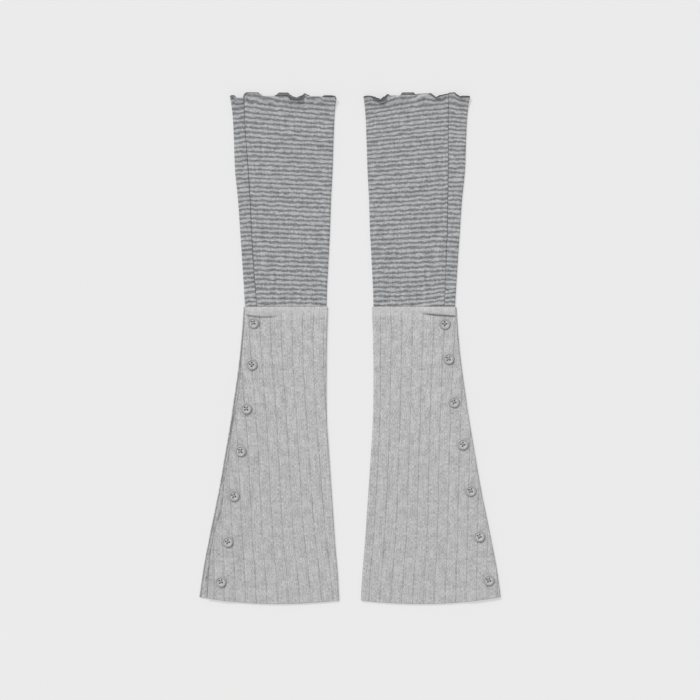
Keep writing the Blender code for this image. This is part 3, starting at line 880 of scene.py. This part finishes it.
def stripe_count(side, lap, up, out):
    """Stripes counted up the tube: a parabola across the front, straight lines elsewhere."""
    places = ("seam", "middle", "inner", "strip", "fold")
    counts = {place: read(STRIPE_COUNTS[side], place, up) / MM for place in places}
    seam = read(LENGTHWISE_SEAM, side, up)
    inner = read(STRIPED_OUTLINE, "inner", up)
    outer = read(STRIPED_OUTLINE, "outer", up)
    mid = MIDDLE_OUT[side]
    front = counts["seam"] * (out - mid) * (out - inner) / ((seam - mid) * (seam - inner))
    front = front + counts["middle"] * (out - seam) * (out - inner) / ((mid - seam) * (mid - inner))
    front = front + counts["inner"] * (out - seam) * (out - mid) / ((inner - seam) * (inner - mid))
    back = counts["inner"] + (counts["fold"] - counts["inner"]) * (lap - FOLD_END)
    strip = counts["strip"] + (counts["fold"] - counts["strip"]) * (out - seam) / (outer - seam)
    on = [lap <= FRONT_END, lap <= FOLD_END, lap <= BACK_END, lap <= TURN_END]
    count = np.select(on, [front, counts["inner"], back, counts["fold"]], strip)
    return count - DARK_PHASE[side]


# %% [markdown]
# The tube's grid has close rows through the ruffle, where the cloth bends most, and wider ones
# down the plain leg. Shade gathers along the seam, at the join and in the ruffle's dips.

# %% Striped tube
STRIPED_COLUMNS, STRIPED_ROWS, RUFFLE_ROWS = (190, 8, 46, 8, 20), 74, 30
STRIPED_FRONT_LENGTH, STRIPED_END_LENGTH = 85.0 * MM, 13.0 * MM
RUFFLE_DEPTH, RUFFLE_FIRST, RUFFLE_LAST, EDGE_ROW = 20.0 * MM, 0.7 * MM, 0.6 * MM, 0.3 * MM
SEAM_SHADE_SPREAD = 0.4 * MM
JOIN_SHADE, JOIN_SHADE_SPREAD = 0.45, 0.9 * MM
DIP_CURL, DIP_SHADE, DIP_SHADE_SPREAD = math.radians(110), 0.45, 2.0 * MM


def striped_grid(side):
    """Outside, inside, texture and shade grid of the striped tube."""
    lap = lap_columns(*STRIPED_COLUMNS, STRIPED_FRONT_LENGTH, STRIPED_END_LENGTH)
    low = JOIN_UP + SEAM_GAP / 2
    ruffle_foot = TOP_UP - RUFFLE_DEPTH
    level = np.concatenate([
        low + CLOSE_ROWS,
        np.linspace(low + PLAIN_FROM, ruffle_foot, STRIPED_ROWS),
        np.linspace(ruffle_foot + RUFFLE_FIRST, TOP_UP - RUFFLE_LAST, RUFFLE_ROWS),
        [TOP_UP - EDGE_ROW, TOP_UP],
    ])
    lap, up = np.meshgrid(lap, level)
    middle = striped_surface(side, lap, up)
    out = SIDES[side] * middle[..., 0]
    across = across_cloth(middle)
    share = edge_share(across, up, low, TOP_UP)
    offset = (JERSEY_WALL / 2 * share)[..., None] * outward(striped_surface, side, lap, up)
    count = stripe_count(side, lap, up, out)
    texture = np.stack([across, count * STRIPE_PITCH], axis=-1)
    shade = bell(np.minimum(across, across[:, -1:] - across), SEAM_SHADE_SPREAD)
    shade = shade * read(SEAM_SHADE, side, up) / MM
    shade = shade + JOIN_SHADE * bell(up - JOIN_UP, JOIN_SHADE_SPREAD) * allowance_share(out, up)
    dip = np.clip(between(RUFFLES[side], "curl", out) * DEGREES / DIP_CURL, 0.0, 1.0)
    shade = shade + DIP_SHADE * dip * bell(TOP_UP - up, DIP_SHADE_SPREAD)
    return middle + offset, middle - offset, texture, shade


striped_meshes = {}
for side in SIDES:
    striped_meshes[side] = wall_mesh(f"striped_cloth_{side}", *striped_grid(side))
    print("striped tube", side, "faces:", len(striped_meshes[side].polygons))

# %% [markdown]
# The lettuce hem's thread is whipped so closely that it reads as a cord along the edge. It is a
# tube round the edge line, rippled at a slant, one ripple for each stitch.

# %% Whipped edge
BEAD_RADIUS = 0.62 * MM
BEAD_SET_IN = 0.35 * MM
BEAD_SIDES = 12
BEAD_STEPS, LINE_STEPS = 1100, 4000
STITCH_STEP = 0.95 * MM
STITCH_DEPTH = 0.14


def tube_mesh(name, centre, first, second, radius, closed):
    """A tube round a line: at each point a ring in the plane of two unit vectors."""
    angle = spaced(0.0, math.tau, radius.shape[1])
    ring = np.cos(angle)[:, None] * first[:, None] + np.sin(angle)[:, None] * second[:, None]
    points = centre[:, None] + radius[..., None] * ring
    count, sides = radius.shape
    ids = np.arange(count * sides).reshape(count, sides)
    lower = ids if closed else ids[:-1]
    upper = np.roll(ids, -1, axis=0) if closed else ids[1:]
    faces = np.stack([lower, np.roll(lower, -1, 1), np.roll(upper, -1, 1), upper], axis=-1)
    faces = faces.reshape(-1, 4).tolist()
    if not closed:
        faces += [ids[0, ::-1].tolist(), ids[-1].tolist()]
    return closed_mesh(name, points.reshape(-1, 3), faces)


def unit(vectors):
    """The same directions at length 1."""
    return vectors / np.linalg.norm(vectors, axis=-1, keepdims=True)


def even_laps(side, up, count):
    """Laps whose points lie evenly along the cloth at this height."""
    lap = np.linspace(0.0, LAP_END, LINE_STEPS)
    line = striped_surface(side, lap, np.full(lap.shape, up))
    along = np.concatenate([[0.0], np.cumsum(np.linalg.norm(np.diff(line, axis=0), axis=-1))])
    return np.interp(np.linspace(0.0, along[-1], count), along, lap), along[-1]


def whipped_edge(side):
    """The rippled tube round the tube's top edge, closed at the lengthwise seam."""
    lap, length = even_laps(side, TOP_UP, BEAD_STEPS)
    up = np.full(lap.shape, TOP_UP)
    line = striped_surface(side, lap, up)
    off = unit(line - striped_surface(side, lap, up - PROBE_UP))
    normal = unit(outward(striped_surface, side, lap, up))
    along = np.linspace(0.0, length, BEAD_STEPS)
    angle = spaced(0.0, math.tau, BEAD_SIDES)
    stitches = round(length / STITCH_STEP)
    wave = np.cos(math.tau * stitches * along[:, None] / length + angle)
    radius = BEAD_RADIUS * (1 + STITCH_DEPTH * wave)
    print("whipped edge", side, f"{length / MM:.0f} mm long, {stitches} stitches")
    return tube_mesh(f"whipped_edge_{side}", line - BEAD_SET_IN * off, off, normal, radius, True)


edge_meshes = {side: whipped_edge(side) for side in SIDES}

# %% [markdown]
# Four-hole shirt buttons close the placket. The flat of the button is four equal quarters, each a
# grid that runs from a hole's round edge to the quarter's own edge. The raised rim is a profile
# turned round the middle, its corners rounded by cutting them off three times over. Shade lies
# on the outside of the rim, at its inner foot and in the holes.

# %% Button
HOLE_RADIUS = 0.95 * MM
HOLE_BEVEL = 0.16 * MM
HOLE_PLACE = 1.32 * MM
FLAT_RADIUS = 3.3 * MM
DISH_LEVEL = 1.15 * MM
QUARTER_STEPS, RING_STEPS, CORNER_CUTS = 24, 5, 3
WELD = 0.002 * MM
RIM_SHADE, RIM_SHADE_RADIUS, RIM_SHADE_SPREAD = 0.42, 5.1 * MM, 0.75 * MM
DISH_SHADE, DISH_CORNER, DISH_SHADE_SPREAD = 0.3, 4.0 * MM, 0.42 * MM
HOLE_SHADE, HOLE_SHADE_SPREAD = 0.6, 0.95 * MM
RIM_PROFILE = table(
    "radius height",
    (3.3, 1.15),
    (3.9, 1.15),
    (4.15, 2.15),
    (4.75, 2.4),
    (5.35, 2.1),
    (5.75, 1.1),
    (5.75, 0.5),
    (4.9, 0),
    (3.3, 0),
)


def corners_cut(points, times):
    """A line with its corners cut off at a quarter of each side, time after time."""
    for _ in range(times):
        near = 0.75 * points[:-1] + 0.25 * points[1:]
        far = 0.25 * points[:-1] + 0.75 * points[1:]
        inner = np.stack([near, far], axis=1).reshape(-1, 2)
        points = np.concatenate([points[:1], inner[1:-1], points[-1:]])
    return points


def quarter_edge(steps):
    """Once round a quarter of the flat: out along one straight side, round the arc, back in."""
    side = spaced(0.0, FLAT_RADIUS, steps // 3)
    nothing = np.zeros(steps // 3)
    turn = spaced(0.0, math.pi / 2, steps // 3)
    out = np.concatenate([side, FLAT_RADIUS * np.cos(turn), nothing])
    up = np.concatenate([nothing, FLAT_RADIUS * np.sin(turn), FLAT_RADIUS - side])
    return np.stack([out, up], axis=-1)


def quarter_points(level, bevel_level):
    """A quarter's grid: the hole's wall edge, its bevelled edge, and rings that spread to the sides."""
    edge = quarter_edge(QUARTER_STEPS)
    middle = np.array([HOLE_PLACE, HOLE_PLACE])
    angle = np.arctan2(edge[:, 1] - middle[1], edge[:, 0] - middle[0])
    round_edge = np.stack([np.cos(angle), np.sin(angle)], axis=-1)
    hole = middle + HOLE_RADIUS * round_edge
    bevel = middle + (HOLE_RADIUS + HOLE_BEVEL) * round_edge
    share = np.linspace(0.0, 1.0, RING_STEPS)[:, None, None]
    rings = bevel + (edge - bevel) * share
    flat = np.concatenate([hole[None], rings])
    height = np.full(flat.shape[:2], level)
    height[0] = bevel_level
    return np.concatenate([flat, height[..., None]], axis=-1)


def points_of(mesh):
    """The points of a mesh, one to a row."""
    points = np.zeros(3 * len(mesh.vertices), np.float32)
    mesh.vertices.foreach_get("co", points)
    return points.reshape(-1, 3)


def button_mesh():
    """One button at the origin: four quarters above, four below, the holes' walls and the rim."""
    top = quarter_points(DISH_LEVEL, DISH_LEVEL - HOLE_BEVEL)
    bottom = quarter_points(0.0, HOLE_BEVEL)
    quarter = np.concatenate([top[::-1], bottom])
    profile = corners_cut(np.stack([RIM_PROFILE["radius"], RIM_PROFILE["height"]], axis=-1), CORNER_CUTS)
    arc = spaced(0.0, math.tau, 4 * (QUARTER_STEPS // 3))
    rim = np.stack([
        profile[:, 0, None] * np.cos(arc),
        profile[:, 0, None] * np.sin(arc),
        np.broadcast_to(profile[:, 1, None], (len(profile), len(arc))),
    ], axis=-1)
    turns = [np.array([[c, -s, 0], [s, c, 0], [0, 0, 1]]) for c, s in ((1, 0), (0, 1), (-1, 0), (0, -1))]
    grids = [quarter @ turn.T for turn in turns] + [rim]
    points = []
    faces = []
    total = 0
    for grid in grids:
        rows, columns = grid.shape[:2]
        ids = total + np.arange(rows * columns).reshape(rows, columns)
        after = np.roll(ids, -1, axis=1)
        faces.append(np.stack([ids[:-1], after[:-1], after[1:], ids[1:]], axis=-1).reshape(-1, 4))
        points.append(grid.reshape(-1, 3))
        total += rows * columns
    mesh = closed_mesh("button", np.concatenate(points), np.concatenate(faces).tolist(), WELD)
    place = points_of(mesh)
    radius = np.hypot(place[:, 0], place[:, 1])
    from_hole = np.hypot(np.abs(place[:, 0]) - HOLE_PLACE, np.abs(place[:, 1]) - HOLE_PLACE)
    shade = RIM_SHADE * bell(radius - RIM_SHADE_RADIUS, RIM_SHADE_SPREAD)
    shade = shade + DISH_SHADE * bell(radius - DISH_CORNER, DISH_SHADE_SPREAD)
    write_shade(mesh, np.maximum(shade, HOLE_SHADE * bell(from_hole, HOLE_SHADE_SPREAD)))
    return mesh


button_shape = button_mesh()
print("button faces:", len(button_shape.polygons))

# %% [markdown]
# Every button was sewn on by hand or machine with a cross of thread, and it never lies quite like
# its neighbour: each is turned and tilted a little of its own.

# %% Sewn-on buttons
BUTTONS_PER_SIDE = 7
TILTS = {
    "left": ((5, -6, 12), (2, 2, 40), (-2, 1, 3), (4, -7, 6), (1, 3, 25), (-3, 2, 33), (2, -1, 14)),
    "right": ((3, 2, 44), (-2, 3, 8), (1, -3, 30), (-4, 1, 38), (2, 2, 16), (-2, -2, 28), (3, 1, 20)),
}
THREAD_RADIUS, THREAD_SIDES = 0.19 * MM, 8
STRAND_SIDE, STRAND_STEPS = 0.18 * MM, 17
STRAND_SHORT, STRAND_PLUNGE = 0.45 * MM, 2.3
STRAND_LOW, STRAND_ARCH, STRAND_BLUNT = 0.3, 1.3, 0.45
STRAND_TURNS = ((0.25, 0.0), (0.75, 0.36))
NEARLY_UP = np.array([0.02, 0.01, 1.0])


def turned(tilt):
    """The rotation that tips a button a few degrees about X and Y after turning it about Z."""
    x, y, z = (math.radians(angle) for angle in tilt)
    about_x = np.array([[1, 0, 0], [0, math.cos(x), -math.sin(x)], [0, math.sin(x), math.cos(x)]])
    about_y = np.array([[math.cos(y), 0, math.sin(y)], [0, 1, 0], [-math.sin(y), 0, math.cos(y)]])
    about_z = np.array([[math.cos(z), -math.sin(z), 0], [math.sin(z), math.cos(z), 0], [0, 0, 1]])
    return about_x @ about_y @ about_z


def moved_copy(mesh, name, rotation, place):
    """A copy of a mesh, turned and set down at a place."""
    copy = mesh.copy()
    copy.name = name
    points = points_of(copy) @ rotation.T + place
    copy.vertices.foreach_set("co", points.ravel().astype(np.float32))
    copy.update()
    return copy


def cross_stitch():
    """Four strands over a button's middle: up from one hole, across in a low arch, and down again."""
    share = np.linspace(0.0, 1.0, STRAND_STEPS)
    span = math.sqrt(2) * HOLE_PLACE - STRAND_SHORT
    strands = []
    for turn, lift in STRAND_TURNS:
        direction = np.array([math.cos(math.pi * turn), math.sin(math.pi * turn)])
        sideways = np.array([-direction[1], direction[0]])
        run = span * np.clip(STRAND_PLUNGE * (share - 0.5), -1.0, 1.0)
        rise = (STRAND_LOW + (STRAND_ARCH + lift) * np.sin(math.pi * share) ** STRAND_BLUNT) * MM
        for shift in (-STRAND_SIDE, STRAND_SIDE):
            flat = run[:, None] * direction + shift * sideways
            strands.append(np.concatenate([flat, rise[:, None]], axis=-1))
    return strands


def strand_mesh(name, path):
    """A round thread along a path."""
    along = unit(np.gradient(path, axis=0))
    level = unit(np.cross(along, NEARLY_UP))
    radius = np.full((len(path), THREAD_SIDES), THREAD_RADIUS)
    return tube_mesh(name, path, level, np.cross(along, level), radius, False)


def joined(name, meshes):
    """One mesh from several."""
    work = bmesh.new()
    for mesh in meshes:
        work.from_mesh(mesh)
    whole = bpy.data.meshes.new(name)
    work.to_mesh(whole)
    work.free()
    whole.shade_smooth()
    return whole


stitch_shape = joined("cross_stitch", [strand_mesh("strand", path) for path in cross_stitch()])
button_meshes = {}
stitch_meshes = {}
for side in SIDES:
    crosses = []
    for number, tilt in enumerate(TILTS[side], start=1):
        name = f"button_{side}_{number}"
        low, high = (np.array(corner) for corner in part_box(name))
        place = np.array([(low[0] + high[0]) / 2, (low[1] + high[1]) / 2, low[2]])
        button_meshes[name] = moved_copy(button_shape, f"sewn_{name}", turned(tilt), place)
        crosses.append(moved_copy(stitch_shape, f"cross_{name}", turned(tilt), place))
    stitch_meshes[side] = joined(f"button_thread_{side}", crosses)
    print("buttons on the", side, "at", round(place[2] / MM, 2), "mm up")

# %% [markdown]
# Colours are set as they look in even light and turned into what the shader needs. Small helpers
# keep the node trees readable: one adds a node, one joins two values by arithmetic.

# %% Shader helpers
def grey(level, warmth=0.0):
    """A linear colour from a grey of 0 to 255 as seen on a screen, a little warmer or cooler."""
    seen = np.array([level + warmth, level, level - warmth, 255.0]) / 255
    linear = np.where(seen <= 0.04045, seen / 12.92, ((seen + 0.055) / 1.055) ** 2.4)
    return tuple(float(v) for v in linear)


def new_finish(name, roughness, sheen=0.0, specular=0.3):
    """A material with a Principled shader, and its node tree."""
    material = bpy.data.materials.new(name)
    material.use_nodes = True
    shader = material.node_tree.nodes["Principled BSDF"]
    shader.inputs["Roughness"].default_value = roughness
    shader.inputs["Specular IOR Level"].default_value = specular
    shader.inputs["Sheen Weight"].default_value = sheen
    shader.inputs["Sheen Roughness"].default_value = 0.5
    return material, material.node_tree, shader


def put(tree, target, value):
    """Joins a socket to an input, or sets the input's own value."""
    if isinstance(value, bpy.types.NodeSocket):
        tree.links.new(value, target)
    else:
        target.default_value = value


def sums(tree, operation, *values):
    """One step of arithmetic."""
    step = tree.nodes.new("ShaderNodeMath")
    step.operation = operation
    for target, value in zip(step.inputs, values):
        put(tree, target, value)
    return step.outputs[0]


def texture_place(tree, scale, source):
    """Texture coordinates from the cloth's own map or from the object, scaled."""
    if source == "cloth":
        place = tree.nodes.new("ShaderNodeUVMap")
        place.uv_map = "knit"
        start = place.outputs[0]
    else:
        start = tree.nodes.new("ShaderNodeTexCoord").outputs["Object"]
    mapping = tree.nodes.new("ShaderNodeMapping")
    mapping.inputs["Scale"].default_value = scale
    tree.links.new(start, mapping.inputs["Vector"])
    return mapping.outputs[0]


def noise(tree, scale, detail=3.0, rough=0.6, source="cloth"):
    """Soft random values from 0 to 1."""
    step = tree.nodes.new("ShaderNodeTexNoise")
    step.inputs["Scale"].default_value = 1.0
    step.inputs["Detail"].default_value = detail
    step.inputs["Roughness"].default_value = rough
    tree.links.new(texture_place(tree, scale, source), step.inputs["Vector"])
    return step.outputs[0]


def around_zero(tree, counts, detail=1.0):
    """Soft random values on both sides of zero, with so many swings to the metre each way."""
    return sums(tree, "SUBTRACT", noise(tree, (*counts, 1.0), detail), 0.5)


def ramp(tree, value, low, high, to_low=0.0, to_high=1.0):
    """A soft step of a value from one range to another."""
    step = tree.nodes.new("ShaderNodeMapRange")
    step.interpolation_type = "SMOOTHSTEP"
    for target, each in zip(step.inputs, (value, low, high, to_low, to_high)):
        put(tree, target, each)
    return step.outputs[0]


def blended(tree, share, first, second):
    """A colour between two."""
    step = tree.nodes.new("ShaderNodeMix")
    step.data_type = "RGBA"
    put(tree, step.inputs["Factor"], share)
    put(tree, step.inputs[6], first)
    put(tree, step.inputs[7], second)
    return step.outputs[2]


def dress(tree, shader, colour, height, distance, strength=0.5):
    """Joins the shader to its colour and puts fine relief on its normal."""
    tree.links.new(colour, shader.inputs["Base Color"])
    step = tree.nodes.new("ShaderNodeBump")
    step.inputs["Strength"].default_value = strength
    step.inputs["Distance"].default_value = distance
    tree.links.new(height, step.inputs["Height"])
    tree.links.new(step.outputs[0], shader.inputs["Normal"])


# %% [markdown]
# Jersey stitches look like small Vs in columns. With a the place across the cloth in stitches and
# b the place along it, each column is a hump, the sine of a's part of a stitch, and the legs of
# the V come from a wave in b that is shifted by how far a is from the column's middle.

# %% Knit relief
WALE_WIDTH = 0.95 * MM
COURSE_HEIGHT = 0.775 * MM
V_SLANT, LEG_SHARE = 0.9, 0.35


def knit_height(tree):
    """Height of the stitches, and the place across and along the cloth."""
    place = tree.nodes.new("ShaderNodeSeparateXYZ")
    tree.links.new(texture_place(tree, (1.0, 1.0, 1.0), "cloth"), place.inputs[0])
    across, along = place.outputs[0], place.outputs[1]
    part = sums(tree, "FRACT", sums(tree, "DIVIDE", across, WALE_WIDTH))
    hump = sums(tree, "SINE", sums(tree, "MULTIPLY", part, math.pi))
    off_middle = sums(tree, "ABSOLUTE", sums(tree, "SUBTRACT", part, 0.5))
    rows = sums(tree, "MULTIPLY_ADD", off_middle, V_SLANT, sums(tree, "DIVIDE", along, COURSE_HEIGHT))
    legs = sums(tree, "COSINE", sums(tree, "MULTIPLY", rows, math.tau))
    return sums(tree, "MULTIPLY_ADD", legs, LEG_SHARE, hump), across, along


# %% [markdown]
# Heather grey is spun from light and dark fibres mixed, so its colour is a fine streaky speckle
# and never a flat grey. The streaks run along the yarn, and soft patches of painted shade lie over
# them in place of the faintest creases. The sunken stitch between two ribs is darker, because it
# lies in its own shade. The rib's top band under the join is lighter, a painted highlight where the
# rib bulges up, and the rib turns a little darker and warmer towards the hem.

# %% Heather rib
RIB_LIGHT, RIB_DARK = 211.0, 155.0
# The top band of the rib under the join gets a painted highlight where the rib bulges up.
PAINTED_HIGHLIGHT_GREY, PAINTED_HIGHLIGHT_BAND, PAINTED_HIGHLIGHT_FADE, PAINTED_HIGHLIGHT_SHARE = 214.0, 9.0 * MM, 1.4, 0.28
RIB_FLECKS, FINER = (1100.0, 420.0), 2.7
GROOVE_GREY, GROOVE_FROM, GROOVE_BREAKS = 124.0, 0.45, (40.0, 150.0)
# The rib turns a little darker and warmer towards the hem.
HEM_TONE_GREY, HEM_TONE_WARMTH, HEM_TONE_SHARE = 150.0, 0.6, 0.1
HEM_TONE_FULL_UP, HEM_TONE_END_UP = 60.0 * MM, 260.0 * MM
SHADE_GREY = 78.0
WALE_LINES = (1000.0, 45.0)
COARSE_SHARE, FINE_SHARE, LINE_SHARE = 0.5, 0.25, 0.25
# Soft patches of painted shade stand in for the faintest creases.
PAINTED_SHADE_PATCHES, PAINTED_SHADE_PATCH_SHARE = (125.0, 125.0), 0.2


def heather(tree, light, dark, warmth, flecks):
    """Speckled colour of mixed fibres, whose flecks are so many to the metre across and along."""
    coarse = noise(tree, (*flecks, 1.0), 1.0, 0.5)
    fine = noise(tree, (FINER * flecks[0], FINER * flecks[1], 1.0), 2.0, 0.6)
    lines = noise(tree, (*WALE_LINES, 1.0), 1.0, 0.5)
    mixed = sums(tree, "MULTIPLY_ADD", fine, FINE_SHARE, sums(tree, "MULTIPLY", coarse, COARSE_SHARE))
    mixed = sums(tree, "MULTIPLY_ADD", lines, LINE_SHARE, mixed)
    # Soft patches of painted shade, in place of the faintest creases.
    mixed = sums(tree, "MULTIPLY_ADD", around_zero(tree, PAINTED_SHADE_PATCHES), PAINTED_SHADE_PATCH_SHARE, mixed)
    return blended(tree, ramp(tree, mixed, 0.3, 0.7), grey(dark, warmth), grey(light, warmth))


def shaded(tree, colour):
    """The colour, darker where the cloth's own shade attribute says so."""
    place = tree.nodes.new("ShaderNodeAttribute")
    place.attribute_name = "shade"
    return blended(tree, place.outputs["Fac"], colour, grey(SHADE_GREY))


def heather_rib():
    """The rib knit's finish."""
    material, tree, shader = new_finish("heather_rib", roughness=0.92, sheen=0.12, specular=0.2)
    height, across, along = knit_height(tree)
    ribs = sums(tree, "DIVIDE", across, RIB_PITCH)
    part = sums(tree, "ABSOLUTE", sums(tree, "SUBTRACT", sums(tree, "FRACT", ribs), 0.5))
    broken = ramp(tree, noise(tree, (*GROOVE_BREAKS, 1.0), 2.0, 0.6), 0.35, 0.65, 0.2, 0.8)
    groove = sums(tree, "MULTIPLY", ramp(tree, part, GROOVE_FROM, 0.5), broken)
    below_join = ramp(tree, along, JOIN_UP - GROOVE_END - GROOVE_FADE, JOIN_UP - GROOVE_END, 1.0, 0.0)
    colour = heather(tree, RIB_LIGHT, RIB_DARK, 0.0, RIB_FLECKS)
    # A little darker and warmer towards the hem.
    hem_tone = ramp(tree, along, HEM_TONE_FULL_UP, HEM_TONE_END_UP, HEM_TONE_SHARE, 0.0)
    colour = blended(tree, hem_tone, colour, grey(HEM_TONE_GREY, HEM_TONE_WARMTH))
    # Painted highlight: the top band under the join is lighter, where the rib bulges up.
    highlight_foot = JOIN_UP - PAINTED_HIGHLIGHT_FADE * PAINTED_HIGHLIGHT_BAND
    top = ramp(tree, along, highlight_foot, JOIN_UP - PAINTED_HIGHLIGHT_BAND, 0.0, PAINTED_HIGHLIGHT_SHARE)
    colour = blended(tree, top, colour, grey(PAINTED_HIGHLIGHT_GREY))
    colour = blended(tree, sums(tree, "MULTIPLY", groove, below_join), colour, grey(GROOVE_GREY))
    dress(tree, shader, shaded(tree, colour), height, 0.12 * MM)
    return material


rib_finish = heather_rib()

# %% [markdown]
# The striped jersey is knitted from two heathers in turn, three rows of each or so. A cosine of
# the stripe count gives the bands, a soft step sharpens them, and a little noise keeps their
# edges as ragged as stitches are.

# %% Striped jersey
STRIPE_LIGHT, STRIPE_DARK = 177.0, 124.0
YARN_SPREAD, YARN_WARMTH, JERSEY_FLECKS = 25.5, -1.2, (400.0, 1000.0)
UNEVEN, UNEVEN_SIZE = (115.0, 170.0), 0.72
RAGGED, RAGGED_SIZE = (800.0, 500.0), 0.2
TONES, TONE_SIZE = (170.0, 560.0), 2.2
BAND_EDGE = 0.95


def striped_jersey():
    """The striped knit's finish."""
    material, tree, shader = new_finish("striped_jersey", roughness=0.9, sheen=0.12, specular=0.2)
    height, _, along = knit_height(tree)
    uneven = sums(tree, "MULTIPLY", around_zero(tree, UNEVEN), UNEVEN_SIZE)
    ragged = sums(tree, "MULTIPLY", around_zero(tree, RAGGED), RAGGED_SIZE)
    count = sums(tree, "ADD", sums(tree, "DIVIDE", along, STRIPE_PITCH), sums(tree, "ADD", uneven, ragged))
    wave = sums(tree, "COSINE", sums(tree, "MULTIPLY", count, math.tau))
    toned = sums(tree, "MULTIPLY_ADD", around_zero(tree, TONES, 2.0), TONE_SIZE, wave)
    dark = ramp(tree, toned, -BAND_EDGE, BAND_EDGE)
    yarns = [
        heather(tree, level + YARN_SPREAD, level - YARN_SPREAD, YARN_WARMTH, JERSEY_FLECKS)
        for level in (STRIPE_LIGHT, STRIPE_DARK)
    ]
    dress(tree, shader, shaded(tree, blended(tree, dark, *yarns)), height, 0.1 * MM)
    return material


jersey_finish = striped_jersey()

# %% [markdown]
# Polyester sewing thread is smoother than knit and has a faint shine along its twist. The buttons
# are cast resin, satin and lightly mottled. The table is pale and matt, and its faint glow is
# painted light that fades the shadows on it, so that it stays even right up to the cloth.

# %% Thread and button resin
EDGE_THREAD_GREY, BUTTON_THREAD_GREY, THREAD_CONTRAST = 68.0, 160.0, 0.2
TWISTS, MOTTLES = (2600.0, 2600.0, 2600.0), (420.0, 420.0, 420.0)
RESIN_DARK, RESIN_LIGHT = 184.0, 212.0
TABLE_GREY, TABLE_GLOW = 166.0, 0.45


def thread_finish(name, level):
    """A twisted thread's finish."""
    material, tree, shader = new_finish(name, roughness=0.6, sheen=0.2, specular=0.4)
    twist = noise(tree, TWISTS, 2.0, 0.5, "object")
    dark, light = (grey(level * share) for share in (1 - THREAD_CONTRAST, 1 + THREAD_CONTRAST))
    dress(tree, shader, blended(tree, twist, dark, light), twist, 0.05 * MM)
    return material


def button_finish():
    """Grey resin, lightly mottled, satin."""
    material, tree, shader = new_finish("button_resin", roughness=0.28, sheen=0.0, specular=0.55)
    mottle = noise(tree, MOTTLES, 3.0, 0.6, "object")
    colour = blended(tree, mottle, grey(RESIN_DARK), grey(RESIN_LIGHT))
    dress(tree, shader, shaded(tree, colour), mottle, 0.02 * MM, 0.3)
    return material


def floor_finish():
    """Pale, matt and even, with a faint glow of painted light so that shadows on it are faint."""
    material, _, shader = new_finish("pale_floor", roughness=0.95, sheen=0.0, specular=0.0)
    shader.inputs["Base Color"].default_value = grey(TABLE_GREY)
    shader.inputs["Emission Color"].default_value = (1.0, 1.0, 1.0, 1.0)
    # Painted light: the table's glow fades the shadows that fall on it.
    shader.inputs["Emission Strength"].default_value = TABLE_GLOW
    return material


edge_thread_finish = thread_finish("dark_thread", EDGE_THREAD_GREY)
button_thread_finish = thread_finish("button_thread", BUTTON_THREAD_GREY)
resin_finish = button_finish()
floor_mesh.materials.append(floor_finish())

# %% [markdown]
# The meshes become pieces. Each rides on the model's one body and stands for the plain solids it
# replaces.


def piece(name, mesh, finish, slot, *nodes):
    """A new piece that rides on the body and stands for its solids."""
    mesh.materials.clear()
    mesh.materials.append(finish)
    thing = new_object(name, mesh)
    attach(thing, "root")
    if nodes:
        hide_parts(*nodes)
    return thing


for side in SIDES:
    edge = piece(f"whipped_edge_{side}", edge_meshes[side], edge_thread_finish, "striped_jersey")
    tube_name, tube_solid = f"striped_cloth_{side}", f"striped_tube_{side}"
    tube = piece(tube_name, striped_meshes[side], jersey_finish, "striped_jersey", tube_solid)
    thread = piece(f"button_thread_{side}", stitch_meshes[side], button_thread_finish, "button_resin")
    panel = piece(f"rib_cloth_{side}", rib_meshes[side], rib_finish, "heather_rib", f"rib_panel_{side}")
    for number in range(1, BUTTONS_PER_SIDE + 1):
        name = f"button_{side}_{number}"
        piece(f"sewn_{name}", button_meshes[name], resin_finish, "button_resin", name)
